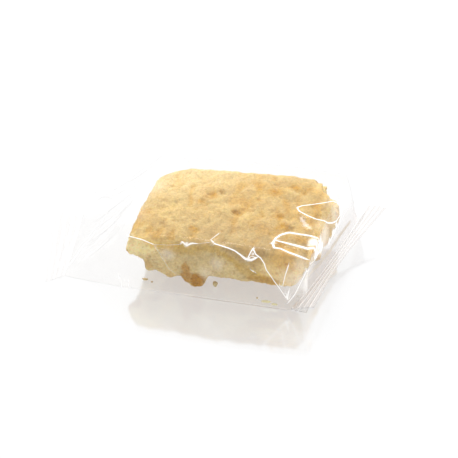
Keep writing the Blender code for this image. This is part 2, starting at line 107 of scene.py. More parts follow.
# Brown crust on the torn lower edge: centre, half sizes, strength
BROWN_SPOTS = (
    ((-2.2, -17.2, 3.8), (2.3, 3.0, 3.2), 1.0),
    ((-5.0, -17.4, 4.4), (2.0, 3.0, 2.9), 0.8),
    ((-4.9, -17.8, 7.8), (1.5, 3.0, 2.0), 0.8),
    ((-9.4, -17.4, 4.4), (1.4, 2.5, 1.5), 0.3),
    ((16.0, -18.0, 7.0), (5.6, 3.0, 1.6), 0.55),
    ((-15.2, -17.0, 7.4), (1.3, 3.0, 2.4), 0.35),
    ((-21.4, -15.4, 9.2), (0.8, 3.0, 1.3), 0.5),
)
# Painted light: paler, brighter colour on parts of the side and of the broken end: centre, half sizes,
# strength
LIT_SPOTS = (
    ((-19.6, -16.6, 9.6), (3.4, 4.0, 4.6), 1.0), ((-16.4, -18.0, 12.6), (5.0, 3.0, 3.4), 1.0),
    ((-11.0, -18.0, 13.6), (4.0, 3.0, 1.6), 0.4), ((21.5, -18.0, 9.8), (8.5, 4.5, 6.0), 1.0),
    ((28.0, -4.0, 9.0), (4.5, 14.0, 9.5), 1.0), ((28.6, 10.0, 12.0), (5.5, 13.0, 9.0), 0.7),
    ((25.4, 19.0, 14.5), (3.2, 4.0, 4.5), 0.8), ((22.0, -17.0, 14.6), (5.0, 3.0, 2.2), 0.7),
    ((25.5, 13.5, 16.5), (3.5, 4.5, 3.0), 0.5),
)
# The smaller pits that are scattered between those
PIT_COUNT = 110
PIT_SEED = 21
PIT_FIELD = ((-21.0, 26.0), (-18.0, 18.5))
PIT_RADIUS = (0.35, 0.8)
PIT_DEPTH = (0.08, 0.26)

# Where the cake's sides and shades begin and end
FRONT_FACE_Y = (-13.0, -16.5)
SIDE_CRUST_DEPTH = 2.6              # how far the crust comes down the back and the left side
END_CRUST_DEPTH = 1.6
END_FACE = ((24.5, 26.5), (-16.0, -8.0))
FRONT_CRUST_FADE = (0.42, (2.4, 4.4))   # the crust's front face is paler, between two depths
BROKEN_END = (0.72, (25.2, 26.8), (-19.0, -14.0))   # the broken end has less of the crust's colour
# Painted light: the crust is made paler towards the back left, beyond a slanting line in the plan
LIT_BACK_SLOPE = 0.6
LIT_BACK_REACH = (3.0, 21.0)
# Painted shade: the crust is darkened towards the front and the right
FRONT_SHADE_REACH = ((-16.0, 4.0), (-3.0, -14.0))
FLECKS = (0.35, (2.0, 20.0))        # strength of the faint toasting of the right half, and its x
BOTTOM_CRUST = (0.75, (-0.75, -0.95))   # strength, and the normal's height where it begins and ends

# Relief, as heights, wavelengths and places in the noise
SWELL_STRETCH = (1.0, 0.5, 1.0)
MOUNDS = (0.55, 3.8, 3.5)
MOUND_SOFTNESS = 0.02
MOUND_MIDDLE = 0.26
SWELLS = ((0.3, 2.3, 7.0), (0.22, 6.0, 13.0))
FAR_CALM = 0.35                     # how much flatter the crust is towards the back
CRUST_GRAIN = ((0.05, 1.0, 19.0), (0.05, 0.5, 17.0))
PIT_STRENGTH = 0.58
CRUMB_GRAIN = ((0.22, 2.4, 27.0), (0.15, 1.0, 33.0), (0.08, 0.55, 39.0))
PORES = ((0.5, 1.35, 8.0, 0.42), (0.22, 0.75, 12.0, 0.4))   # depth, spacing, place, width
RELIEF_LIMIT = 0.42
BELLY_BAND = 0.25

# Gain of the painted light on the pale spots, and tone of the fine speckle
LIT_GAIN = (1.5, 1.5, 1.52)
SPECKLE_TONE = (1.0, 0.95, 0.85)

# ---- The film (millimetres in the layout) ---------------------------------------------------------
FILM_EDGE_RADIUS = 2.6
FLOOR_FRONT = -20.4
FLOOR_BACK = 24.4
WALL_LEAN = 0.5
LEFT_SEAL = ((-38.6, -19.4, 0.32), (-43.2, 18.0, 5.2))
LEFT_FIN_END = ((-42.6, -23.4, 0.32), (-54.0, 18.0, 3.8))
RIGHT_SEAL = ((23.8, -19.9, 0.32), (36.3, 22.2, 9.2))
RIGHT_FIN_END = ((29.6, -17.8, 0.32), (41.4, 23.8, 8.0))
RIGHT_FIN_BOW = -2.3
SEAL_LIFT_POWER = 1.8
BASE_LIFT_POWER = 4.0
SHOULDER_LEFT = (-23.2, -23.2)
SHOULDER_RIGHT = (28.1, 30.0)
DRAPE_POWER_LEFT = 1.3
DRAPE_POWER_RIGHT = 1.1
GATHER_POWER = 1.5
PLEATS = 4
PLEAT_HEIGHT = 0.45
LAMINA = 0.14                # the two sealed layers of film, drawn thick enough to hold their form
END_VEIL = (0.35, 0.85)      # where the film's right end turns milky, as a share of the way to the seal
END_VEIL_STRENGTH = 0.45
LEFT_FIN_VEIL = 0.15         # how milky the left fin is beside the right one
# Painted highlight on the crimps' ridges
FIN_RIDGE_HIGHLIGHT = {True: 0.35, False: 0.8}   # of the crimps' ridges, on the left fin and on the right
END_SLACK = 0.3              # how loosely the right end is drawn beside the left one
FILM_PULL = ((0.16, 0.85, 0.3), (0.55, 2.6, 41.0))   # stretch of the noise, and its layer
FINE_PULL = ((0.2, 1.9, 0.6), (0.2, 2.6, 47.0))
FILM_CLING = ((0.14, 6.5, 51.0), (0.05, 2.6, 57.0))
WALL_STRETCH = (1.0, 0.5, 0.28)
WALL_CREASING = ((0.3, 3.6, 61.0), (0.1, 1.5, 67.0))
FIN_CREASING = (0.05, 2.6, 71.0)
RIDGE_HEIGHT = 0.28          # how far a crease stands out
FAR_OFF = 9.0                # distance that stands for no crease at all

WALL_COLUMNS = 34
CORNER_COLUMNS = 9
TOP_COLUMNS = 104
LEFT_FIN_ROWS = 44
LEFT_ROWS = 52
MIDDLE_ROWS = 136
RIGHT_ROWS = 44
RIGHT_FIN_ROWS = 40
COLUMNS = 2 * (WALL_COLUMNS + CORNER_COLUMNS) + TOP_COLUMNS
SHARES = np.arange(COLUMNS + 1) / COLUMNS

# Creases of the film, raised as ridges and drawn with white lines that are partly the whitening of creased
# film and partly painted highlight: strength, then points of x, y, z and half width
CREASES = (
    # Broken crease along the front edge of the top
    (0.9, ((-20.3, -18.6, 15.1, 0.22), (-16.3, -19.2, 15.0, 0.25), (-13.3, -19.7, 14.4, 0.2))),
    (0.35, ((-13.3, -19.7, 14.4, 0.18), (-11.5, -20.0, 12.1, 0.15), (-9.1, -20.1, 7.7, 0.15),
        (-7.1, -20.2, 6.4, 0.1))),
    (0.3, ((-13.3, -19.7, 14.4, 0.15), (-9.3, -19.6, 14.7, 0.15), (-5.8, -19.3, 15.3, 0.2))),
    (0.8, ((-5.6, -18.9, 15.7, 0.45), (-4.2, -19.4, 15.2, 0.5), (-3.1, -18.9, 15.7, 0.4),
        (-1.4, -18.8, 15.8, 0.2))),
    (0.3, ((-1.4, -18.8, 15.8, 0.15), (0.2, -18.4, 16.1, 0.15), (1.9, -18.0, 16.3, 0.2))),
    (0.8, ((2.5, -18.2, 16.2, 0.2), (1.8, -17.0, 16.5, 0.15), (3.1, -14.7, 16.9, 0.2))),
    (1.0, ((1.9, -17.4, 16.5, 0.25), (2.9, -18.3, 16.1, 0.3), (6.6, -18.9, 15.8, 0.28),
        (8.6, -19.2, 15.4, 0.3), (10.2, -19.7, 14.8, 0.38), (11.6, -19.9, 13.9, 0.6),
        (13.0, -19.9, 13.8, 0.65), (14.4, -19.7, 14.5, 0.35))),
    # From the spike down the front to the lower right corner
    (0.95, ((12.3, -19.8, 14.5, 0.3), (13.1, -18.0, 16.1, 0.3), (14.1, -19.3, 15.3, 0.3),
        (15.6, -19.7, 14.6, 0.3), (16.5, -19.9, 13.3, 0.28), (17.1, -20.0, 11.4, 0.25),
        (18.5, -20.0, 9.7, 0.22), (20.3, -20.1, 7.2, 0.2), (22.8, -20.3, 3.3, 0.2))),
    (0.8, ((22.9, -19.9, 13.6, 0.3), (22.1, -20.0, 10.3, 0.25), (21.6, -20.1, 7.5, 0.18))),
    (0.8, ((23.2, -20.2, 6.0, 0.4), (22.9, -20.3, 3.6, 0.35))),
    (0.8, ((28.1, -8.1, 9.6, 0.35), (27.7, -10.1, 9.9, 0.35), (27.8, -16.1, 12.2, 0.4),
        (27.8, -19.9, 13.1, 0.4), (26.9, -20.2, 10.6, 0.35), (24.9, -20.2, 5.3, 0.3),
        (23.1, -20.3, 2.3, 0.22))),
    # Loops over the right end
    (0.95, ((17.6, -15.1, 16.5, 0.55), (18.0, -12.9, 16.8, 0.5), (19.0, -11.3, 17.0, 0.55),
        (20.8, -9.9, 17.0, 0.6), (23.5, -9.8, 16.9, 0.5), (26.6, -9.6, 16.7, 0.5), (28.3, -9.8, 16.0, 0.6),
        (28.6, -7.1, 13.8, 0.8))),
    (0.9, ((18.5, -13.9, 16.7, 0.35), (20.4, -14.0, 16.5, 0.5), (23.3, -14.3, 16.3, 0.65),
        (26.8, -14.8, 16.0, 0.75), (28.2, -13.8, 15.5, 0.8), (28.4, -11.0, 13.6, 0.9))),
    (0.95, ((17.6, -15.1, 16.5, 0.6), (18.4, -16.8, 16.2, 0.5), (19.9, -16.6, 16.2, 0.42),
        (22.4, -17.4, 15.9, 0.48), (25.2, -18.0, 15.5, 0.5), (27.2, -18.4, 15.2, 0.42),
        (27.9, -17.4, 13.4, 0.4), (27.8, -16.2, 12.4, 0.4))),
    (0.9, ((28.6, -7.6, 13.7, 1.2), (28.8, -4.6, 10.9, 1.5), (28.3, -8.0, 10.6, 1.2))),
    (1.0, ((29.9, 10.0, 16.0, 0.25), (29.2, 7.6, 17.5, 0.25), (27.6, 6.5, 17.6, 0.25),
        (24.0, 4.4, 17.6, 0.26), (21.6, 3.0, 17.8, 0.28), (20.5, 1.6, 17.8, 0.36), (21.4, 0.1, 17.7, 0.32),
        (23.8, -1.1, 17.5, 0.32), (26.6, -2.1, 17.3, 0.32), (28.9, -2.1, 17.0, 0.34),
        (29.2, 0.3, 15.3, 0.36), (29.7, 3.8, 13.3, 0.45), (30.2, 6.9, 12.1, 0.45),
        (30.6, 9.5, 12.2, 0.35))),
    (0.85, ((30.5, 7.0, 10.6, 0.7), (30.2, 4.4, 10.1, 0.7), (29.8, 2.7, 9.2, 0.6))),
    (0.32, ((22.6, -2.8, 17.5, 0.7), (24.4, -5.4, 17.2, 0.9), (25.4, -6.2, 17.1, 0.6))),
    (0.7, ((13.4, -20.0, 10.6, 0.3), (13.8, -20.0, 10.4, 0.3))),
    # Pulled lines across the left drape
    (0.42, ((-40.8, -11.5, 0.6, 0.25), (-41.4, -3.4, 1.4, 0.22), (-42.6, 12.2, 4.0, 0.15))),
    (0.42, ((-38.8, -14.1, 0.6, 0.25), (-37.2, -8.4, 2.5, 0.25), (-35.0, -4.2, 4.5, 0.2),
        (-32.9, 4.3, 7.5, 0.12))),
    (0.25, ((-35.7, -14.7, 2.1, 0.2), (-31.7, -9.6, 7.4, 0.2), (-26.6, -1.6, 13.2, 0.12))),
    (0.22, ((-30.2, -17.1, 6.8, 0.2), (-26.1, -15.0, 12.1, 0.2), (-22.1, -13.4, 16.1, 0.12))),
    (0.2, ((-26.2, 0.8, 13.9, 0.2), (-25.1, 7.9, 15.2, 0.2), (-23.9, 14.4, 16.2, 0.15))),
    # Back edge of the top
    (0.2, ((-22.0, 23.6, 16.8, 0.5), (-8.0, 23.8, 17.8, 0.5), (12.0, 23.8, 18.4, 0.5),
        (29.0, 23.6, 18.6, 0.5))),
    # Lower edge of the front panel
    (0.25, ((-17.5, -20.4, 0.5, 0.15), (6.0, -20.4, 0.4, 0.18), (22.5, -20.4, 0.4, 0.15))),
    # Short upright folds at the left end of the front panel
    (0.6, ((-22.9, -20.3, 3.3, 0.2), (-22.4, -20.4, 1.8, 0.25), (-22.2, -20.4, 0.3, 0.3))),
    (0.35, ((-20.3, -20.3, 2.1, 0.15), (-20.0, -20.4, 0.3, 0.2))),
)

# Lines on the film's end painted with a reflection of the cake's colour: strength, then points of x, y, z
# and half width
PAINTED_CAKE_REFLECTIONS = (
    (0.5, ((25.6, -19.9, 4.6, 0.7), (27.4, -14.0, 6.4, 0.9), (27.4, -9.8, 6.2, 1.1), (28.6, -4.5, 5.9, 1.2),
        (29.9, 1.8, 5.9, 1.1), (31.0, 6.7, 6.9, 0.9), (32.9, 13.9, 8.0, 0.6))),
)

# Painted highlights, as broad white glowing gleams of the film: x, y, z, radius, strength
PAINTED_GLEAMS = (
    (28.6, -7.2, 13.2, 3.4, 1.0), (28.7, -5.2, 11.0, 3.0, 1.0), (28.2, -9.2, 11.0, 2.8, 1.0),
    (28.4, -11.0, 14.4, 3.0, 1.0), (27.9, -11.6, 16.2, 2.2, 0.9), (23.2, -3.6, 17.4, 1.1, 0.35),
    (30.4, 6.6, 11.2, 1.4, 0.9), (30.1, 4.2, 10.1, 1.6, 0.8), (29.5, 1.5, 9.0, 1.6, 0.6),
    (28.5, -14.0, 9.5, 7.5, 0.35), (29.2, -3.0, 12.5, 6.5, 0.4), (30.0, 7.5, 14.0, 6.0, 0.25),
    (24.5, -20.0, 8.5, 6.5, 0.2), (30.5, 15.0, 15.0, 6.0, 0.2), (27.0, -19.6, 9.0, 4.5, 0.4),
    (26.4, -19.6, 13.6, 3.6, 0.2), (-23.0, -9.0, 16.5, 7.0, 0.13), (-22.5, 3.0, 16.8, 8.0, 0.13),
    (-21.0, 13.0, 16.8, 7.0, 0.1), (24.4, -5.4, 17.2, 1.3, 0.4), (25.4, -6.2, 17.1, 0.9, 0.3),
    (12.3, -19.9, 13.9, 0.9, 0.9), (13.4, -19.2, 15.2, 0.7, 0.8), (17.7, -14.9, 16.6, 0.8, 0.6),
    (-4.4, -19.2, 15.4, 0.9, 0.7), (23.0, -20.2, 4.8, 0.8, 0.5), (-9.5, -20.0, 12.0, 3.0, 0.16),
    (4.0, -20.0, 11.0, 3.0, 0.14), (1.0, -20.1, 8.0, 3.0, 0.12), (26.9, -13.0, 16.0, 1.0, 0.5),
)

# ---- Crumbs (millimetres in the layout) -----------------------------------------------------------
# Centre, size, and how pale each is from 0 to 1
LOOSE_CRUMBS = (
    ((2.0, -14.5, 0.20), (1.3, 1.1, 1.5), 0.45),
    ((-17.0, -16.0, 0.20), (1.6, 0.9, 0.5), 0.25),
    ((-14.9, -16.7, 0.20), (0.6, 0.5, 0.4), 0.0),
    ((17.2, -19.7, 1.00), (2.6, 0.7, 0.6), 1.0),
    ((19.4, -19.9, 0.70), (1.7, 0.5, 0.5), 1.0),
    ((14.2, -17.4, 0.20), (0.5, 0.5, 0.4), 0.2),
)


# ---- Settings -------------------------------------------------------------------------------------
def colour_setting(name, description, default):
    return FloatVectorProperty(
        name=name, description=description, default=default, min=0.0, max=1.0, subtype="COLOR")


class FinancierCakeSettings(bpy.types.PropertyGroup):
    grain: FloatProperty(
        name="Facet Size", description="Size of the cake mesh's facets",
        default=0.00031, min=0.0002, max=0.001, unit="LENGTH")
    relief: FloatProperty(
        name="Relief", description="How strongly the crust and crumb are pitted",
        default=1.0, min=0.0, max=2.0, subtype="FACTOR")
    crust_colour: colour_setting("Crust", "Colour of the baked top", (0.520, 0.343, 0.134))
    patch_colour: colour_setting("Patches", "Colour of the crust's paler patches", (0.61, 0.455, 0.19))
    # Painted light: paler colour put on the crust towards the back, where the light from behind falls
    lit_back_colour: colour_setting("Back Crust", "Colour of the crust towards the back", (0.76, 0.57, 0.28))
    # Painted shade: darker, cooler tone multiplied into the crust towards the front
    front_shade_tone: colour_setting("Front Tone", "Tone of the crust towards the front", (0.88, 0.89, 0.97))
    # Real browning of the toasted patches, also used as painted shade in hollows and pits
    toast_and_shade_colour: colour_setting("Toasted Crust", "Colour of brown patches and pits", (0.48, 0.245, 0.036))
    crumb_colour: colour_setting("Crumb", "Colour of the torn crumb at the sides", (0.64, 0.48, 0.23))
    band_colour: colour_setting("Band", "Colour of the band under the crust's edge", (0.545, 0.35, 0.097))
    brown_colour: colour_setting("Bottom Crust", "Colour of the torn bottom crust", (0.40, 0.185, 0.022))


class FinancierFilmSettings(bpy.types.PropertyGroup):
    cover: FloatProperty(
        name="Cover", description="Height of the film above the crust",
        default=0.00105, min=0.0006, max=0.0013, unit="LENGTH")
    crimps: IntProperty(
        name="Crimps", description="Ridges across each sealed fin",
        default=4, min=1, max=16)
    crimp_height: FloatProperty(
        name="Crimp Height", description="Height of each ridge",
        default=0.00005, min=0.0, max=0.0004, unit="LENGTH")
    tint: colour_setting("Tint", "What one layer of film lets through", (0.993, 0.991, 0.988))
    # Painted highlight: white of the film along creases, gleams and crimps' ridges, which also glows
    crease_highlight_colour: colour_setting("Haze", "Colour of the film where it is creased", (0.97, 0.965, 0.95))
    seal_colour: colour_setting("Seal", "Colour of the milky film at the sealed end", (0.95, 0.90, 0.88))
    # Painted reflection: warm colour of the cake put on lines of the film's end
    cake_reflection_colour: colour_setting("Warm Fold", "Colour of folds that show the cake's", (0.66, 0.53, 0.34))


class FinancierCrumbSettings(bpy.types.PropertyGroup):
    pale_crumb_colour: colour_setting("Pale Crumbs", "Colour of the palest flakes", (0.93, 0.86, 0.52))
    grains: FloatProperty(
        name="Grains", description="Clinging grains to a square metre of cake",
        default=1250000.0, min=0.0, max=4000000.0)
    grain_size: FloatProperty(
        name="Grain Size", description="Size of the largest clinging grain",
        default=0.00026, min=0.0001, max=0.001, unit="LENGTH")
    seed: IntProperty(name="Seed", description="Pattern of the crumbs", default=4, min=0)


class FinancierStudioSettings(bpy.types.PropertyGroup):
    view_turn: FloatProperty(
        name="View Turn", description="How far round to the right the camera stands",
        default=math.radians(14.0), subtype="ANGLE")
    view_height: FloatProperty(
        name="View Height", description="How far above the horizon the camera stands",
        default=math.radians(32.0), subtype="ANGLE")
    view_distance: FloatProperty(
        name="View Distance", description="From the camera to the cake",
        default=0.45, min=0.1, unit="LENGTH")
    view_width: FloatProperty(
        name="View Width", description="Width of the picture at the cake",
        default=0.124, min=0.02, unit="LENGTH")
    world_light: FloatProperty(
        name="Room Light", description="Brightness of the white surroundings",
        default=0.8, min=0.0)
    backdrop_light: FloatProperty(
        name="Backdrop Light", description="Brightness of the white backdrop behind the cake",
        default=1.3, min=0.0)
    key_light: FloatProperty(
        name="Key Light", description="Power of the softbox above and behind the cake",
        default=2.25, min=0.0, unit="POWER")
    floor_colour: colour_setting("Floor", "Colour of the glossy floor", (0.15, 0.15, 0.151))
    floor_glow: FloatProperty(
        name="Floor Glow", description="Light that comes up through the floor",
        default=0.53, min=0.0)


# ---- Helpers --------------------------------------------------------------------------------------
def lerp(start, end, share):
    return start + (end - start) * share


def smoothstep(low, high, value):
    share = np.clip((value - low) / (high - low), 0.0, 1.0)
    return share * share * (3.0 - 2.0 * share)


def noise_at(points, wavelength, offset):
    """Smooth noise between -1 and 1 at each of the points."""
    shift = np.array((offset, offset * 0.7, offset * 1.3))
    places = np.asarray(points) / wavelength + shift
    return np.array([noise.noise(place) for place in places.tolist()])


def layered_noise(points, layers):
    """Sum of smooth noises, each given as its height, wavelength and place in the noise."""
    return sum(height * noise_at(points, wavelength, offset) for height, wavelength, offset in layers)


def cells_at(points, size, offset):
    """Distance from each point to the nearest of scattered centres, as a share of size."""
    shift = np.array((offset, offset * 1.7, offset * 0.6))
    places = np.asarray(points) / size + shift
    return np.array([noise.voronoi(place)[0][0] for place in places.tolist()])


def piece_from_arrays(name, points, faces):
    """A mesh object in the frame, from points in the layout in millimetres."""
    mesh = bpy.data.meshes.new(name)
    mesh.from_pydata(((np.asarray(points) + LAYOUT_SHIFT) * MM).tolist(), [], faces)
    mesh.validate()
    mesh.polygons.foreach_set("use_smooth", [True] * len(mesh.polygons))
    return link(bpy.data.objects.new(name, mesh))


def link(thing):
    bpy.context.scene.collection.objects.link(thing)
    return thing


def read_vertices(mesh, field):
    values = np.zeros(len(mesh.vertices) * 3)
    mesh.vertices.foreach_get(field, values)
    return values.reshape(-1, 3)


def layout_points(mesh):
    return read_vertices(mesh, "co") / MM - np.array(LAYOUT_SHIFT)


def store_points(mesh, points):
    mesh.vertices.foreach_set("co", ((points + np.array(LAYOUT_SHIFT)) * MM).ravel())
    mesh.update()


def store_mask(mesh, name, values):
    mask = mesh.attributes.new(name, "FLOAT", "POINT")
    mask.data.foreach_set("value", np.asarray(values, dtype=np.float32))


def bake_modifiers(piece):
    """Turn what the piece's modifiers make into its own plain mesh."""
    evaluated = piece.evaluated_get(bpy.context.evaluated_depsgraph_get())
    piece.data = bpy.data.meshes.new_from_object(evaluated)
    piece.modifiers.clear()


def settings(name):
    return getattr(bpy.context.scene, name)


# ---- Node helpers ---------------------------------------------------------------------------------
class Wiring:
    """Short calls for the nodes of one material or node group."""

    def __init__(self, tree):
        self.tree = tree

    def node(self, kind, inputs=None, **values):
        """A new node, with its input sockets fed by name or by number."""
        made = self.tree.nodes.new(kind)
        for key, value in values.items():
            setattr(made, key, value)
        for socket, value in (inputs or {}).items():
            self.feed(made.inputs[socket], value)
        return made

    def feed(self, socket, value):
        if isinstance(value, bpy.types.NodeSocket):
            self.tree.links.new(value, socket)
        elif socket.type == "RGBA" and len(value) == 3:
            socket.default_value = (*value, 1.0)
        else:
            socket.default_value = value

    def mask(self, name):
        return self.node("ShaderNodeAttribute", attribute_name=name).outputs["Fac"]

    def math(self, operation, *values, clamp=False):
        inputs = dict(enumerate(values))
        return self.node("ShaderNodeMath", inputs, operation=operation, use_clamp=clamp).outputs[0]

    def times(self, first, second):
        return self.math("MULTIPLY", first, second)

    def plus(self, first, second, clamp=False):
        return self.math("ADD", first, second, clamp=clamp)

    def share(self, part, whole):
        return self.math("DIVIDE", part, self.math("MAXIMUM", whole, 0.01))

    def remap(self, value, low, high, to_low=0.0, to_high=1.0):
        inputs = dict(enumerate((value, low, high, to_low, to_high)))
        return self.node("ShaderNodeMapRange", inputs, interpolation_type="SMOOTHSTEP").outputs[0]

    def blend(self, share, first, second, mode="MIX"):
        inputs = {0: share, 6: first, 7: second}
        return self.node("ShaderNodeMix", inputs, data_type="RGBA", blend_type=mode).outputs[2]

    def noise(self, place, scale, detail=2.0, roughness=0.55):
        inputs = {"Vector": place, "Scale": scale, "Detail": detail, "Roughness": roughness}
        return self.node("ShaderNodeTexNoise", inputs).outputs["Fac"]

    def cells(self, place, scale):
        return self.node("ShaderNodeTexVoronoi", {"Vector": place, "Scale": scale}).outputs["Distance"]

    def object_place(self):
        return self.node("ShaderNodeTexCoord").outputs["Object"]

    def bump(self, height, strength, distance):
        inputs = {"Strength": strength, "Distance": distance, "Height": height}
        return self.node("ShaderNodeBump", inputs).outputs[0]

    def shader(self, kind, inputs):
        return self.node("ShaderNode" + kind, inputs).outputs[0]


def new_material(name):
    material = bpy.data.materials.new(name)
    material.use_nodes = True
    material.node_tree.nodes.clear()
    wiring = Wiring(material.node_tree)
    return material, wiring, wiring.node("ShaderNodeOutputMaterial").inputs["Surface"]


def new_group(name, kind, sockets):
    """A node group with its sockets: its calls, what comes into it and what goes out."""
    group = bpy.data.node_groups.new(name, kind)
    for label, way, socket in sockets:
        group.interface.new_socket(name=label, in_out=way, socket_type="NodeSocket" + socket)
    wiring = Wiring(group)
    return wiring, wiring.node("NodeGroupInput").outputs, wiring.node("NodeGroupOutput").inputs


# ---- Materials ------------------------------------------------------------------------------------
def baked_grain_group():
    """Shared by everything baked: blotches of tone and the height of fine crumb."""
    name = "Baked Grain"
    if name not in bpy.data.node_groups:
        wiring, entry, leave = new_group(name, "ShaderNodeTree", (
            ("Place", "INPUT", "Vector"), ("Blotch Scale", "INPUT", "Float"),
            ("Grain Scale", "INPUT", "Float"), ("Blotch", "OUTPUT", "Float"),
            ("Grain", "OUTPUT", "Float"), ("Height", "OUTPUT", "Float")))
        blotch = wiring.noise(entry["Place"], entry["Blotch Scale"], detail=4.0, roughness=0.6)
        grain = wiring.noise(entry["Place"], entry["Grain Scale"], detail=3.0, roughness=0.65)
        cell = wiring.cells(entry["Place"], wiring.times(entry["Grain Scale"], 0.9))
        wiring.feed(leave["Blotch"], wiring.remap(blotch, 0.32, 0.68))
        wiring.feed(leave["Grain"], wiring.remap(grain, 0.3, 0.7))
        wiring.feed(leave["Height"], wiring.plus(grain, wiring.times(cell, 0.5)))
    return bpy.data.node_groups[name]


def baked_grain(wiring, place, blotch_scale, grain_scale):
    inputs = {"Place": place, "Blotch Scale": blotch_scale, "Grain Scale": grain_scale}
    return wiring.node("ShaderNodeGroup", inputs, node_tree=baked_grain_group()).outputs


def shade(colour, factor):
    return tuple(min(1.0, c * factor) for c in colour)


def sponge_material():
    """Golden crust, cream crumb, brown band and torn bottom crust, with painted light and painted shade on
    the crust and side, by masks on the mesh.
    """
    look = settings("financier_cake")
    material, wiring, surface = new_material("golden_sponge")
    mask, blend, times = wiring.mask, wiring.blend, wiring.times
    place = wiring.object_place()
    grain = baked_grain(wiring, place, 230.0, 1450.0)
    crust = blend(grain["Blotch"], shade(look.crust_colour, 0.93), shade(look.crust_colour, 1.07))
    patch = wiring.remap(wiring.noise(place, 120.0), 0.35, 0.65)
    crust = blend(times(patch, 0.35), crust, look.patch_colour)
    # painted light: paler crust towards the back
    crust = blend(mask("far"), crust, blend(0.55, crust, look.lit_back_colour))
    # painted shade: darker, cooler crust towards the front
    crust = blend(mask("near"), crust, look.front_shade_tone, mode="MULTIPLY")
    # painted shade: the hollows between the mounds are darkened towards the toast colour
    crust = blend(times(mask("hollow"), 0.5), crust, look.toast_and_shade_colour)
    toast = times(mask("toast"), wiring.remap(grain["Grain"], 0.0, 1.0, 0.7, 1.0))
    crust = blend(toast, crust, look.toast_and_shade_colour)
    crumb = blend(grain["Blotch"], shade(look.crumb_colour, 0.88), shade(look.crumb_colour, 1.1))
    colour = blend(mask("crust"), crumb, crust)
    colour = blend(mask("band"), colour, look.band_colour)
    # painted light: the pale spots are made brighter
    colour = blend(mask("pale"), colour, LIT_GAIN, mode="MULTIPLY")
    colour = blend(mask("brown"), colour, look.brown_colour)
    # painted shade: pits of the crust and pores of the crumb are darkened
    colour = blend(times(mask("pit"), 0.6), colour, look.toast_and_shade_colour)
    colour = blend(times(grain["Grain"], 0.65), colour, SPECKLE_TONE, mode="SOFT_LIGHT")
    wiring.feed(surface, wiring.shader("BsdfPrincipled", {
        "Base Color": colour, "Roughness": wiring.remap(grain["Blotch"], 0.0, 1.0, 0.72, 0.86),
        "Normal": wiring.bump(grain["Height"], 0.65, 0.00018), "Specular IOR Level": 0.3,
        "Subsurface Weight": 0.35, "Subsurface Radius": (1.0, 0.6, 0.3), "Subsurface Scale": 0.0012}))
    return material


def crumb_material():
    """Loose sponge in the cake's own colours, or paler."""
    cake, look = settings("financier_cake"), settings("financier_crumbs")
    material, wiring, surface = new_material("loose_sponge")
    grain = baked_grain(wiring, wiring.object_place(), 420.0, 2100.0)
    colour = wiring.blend(grain["Blotch"], shade(cake.crumb_colour, 1.05), cake.crust_colour)
    wiring.feed(surface, wiring.shader("BsdfPrincipled", {
        "Base Color": wiring.blend(wiring.mask("pale_crumb"), colour, look.pale_crumb_colour),
        "Roughness": 0.8, "Specular IOR Level": 0.3,
        "Normal": wiring.bump(grain["Height"], 0.5, 0.0001)}))
    return material


def film_material():
    """Clear gloss with painted highlights that whiten and glow along the creases, gleams and crimps' ridges,
    milky where sealed, and warm where a reflection of the cake is painted.
    """
    look = settings("financier_film")
    material, wiring, surface = new_material("clear_film")
    mask, times, plus, remap = wiring.mask, wiring.times, wiring.plus, wiring.remap
    place = wiring.object_place()
    ripple, fine = wiring.noise(place, 420.0), wiring.noise(place, 2600.0)
    # the seal's milky veil, and the painted reflection of the cake on lines of the film's end
    veil, cake_reflection = mask("veil"), mask("cake_reflection")
    # Painted highlight: white lines along the creases
    off = wiring.math("DIVIDE", wiring.math("ABSOLUTE", mask("crease_side")), mask("crease_width"))
    on_line = times(remap(off, 0.0, 1.0, 1.0, 0.0), remap(mask("crease_near"), 0.45, 1.3, 1.0, 0.0))
    line = times(on_line, mask("crease_strength"))
    calm = remap(veil, 0.0, 0.2, 1.0, 0.15)
    normal = wiring.bump(plus(times(plus(times(ripple, 0.5), times(fine, 0.06)), calm), line), 0.35, 0.00025)

    facing = wiring.node("ShaderNodeLayerWeight", {"Blend": 0.5, "Normal": normal}).outputs["Facing"]
    mirror = wiring.math("MULTIPLY_ADD", wiring.math("POWER", facing, 5.0), 0.55, 0.045)
    clear = wiring.shader("BsdfTransparent", {"Color": look.tint})
    rough = remap(veil, 0.0, 0.25, 0.09, 0.32)
    gloss = wiring.shader("BsdfAnisotropic", {"Roughness": rough, "Normal": normal})
    sheen = wiring.shader("MixShader", {0: mirror, 1: clear, 2: gloss})

    # Painted highlight: crease lines, gleams and the crimps' ridges
    painted_highlight = wiring.math("MAXIMUM", line, mask("painted_gleam"))
    painted_highlight = wiring.math("MAXIMUM", painted_highlight, times(mask("crimp_highlight"), 0.6))
    # the seal's real milkiness together with the painted reflection of the cake
    milky = plus(veil, cake_reflection)
    white = wiring.share(painted_highlight, plus(painted_highlight, milky))
    milk = wiring.blend(wiring.share(cake_reflection, milky), look.seal_colour, look.cake_reflection_colour)
    # Painted highlight: where it lies the film turns white and glows by emission; the milky seal and the
    # painted reflection of the cake stay diffuse
    highlight_milk_and_reflection = wiring.shader("BsdfPrincipled", {
        "Base Color": wiring.blend(white, milk, look.crease_highlight_colour), "Roughness": 0.3, "Normal": normal,
        "Emission Color": (1.0, 0.99, 0.97), "Emission Strength": times(white, 0.35)})
    dull = plus(plus(painted_highlight, milky), remap(fine, 0.55, 0.9, 0.0, 0.03), clamp=True)
    wiring.feed(surface, wiring.shader("MixShader", {0: dull, 1: sheen, 2: highlight_milk_and_reflection}))
    return material


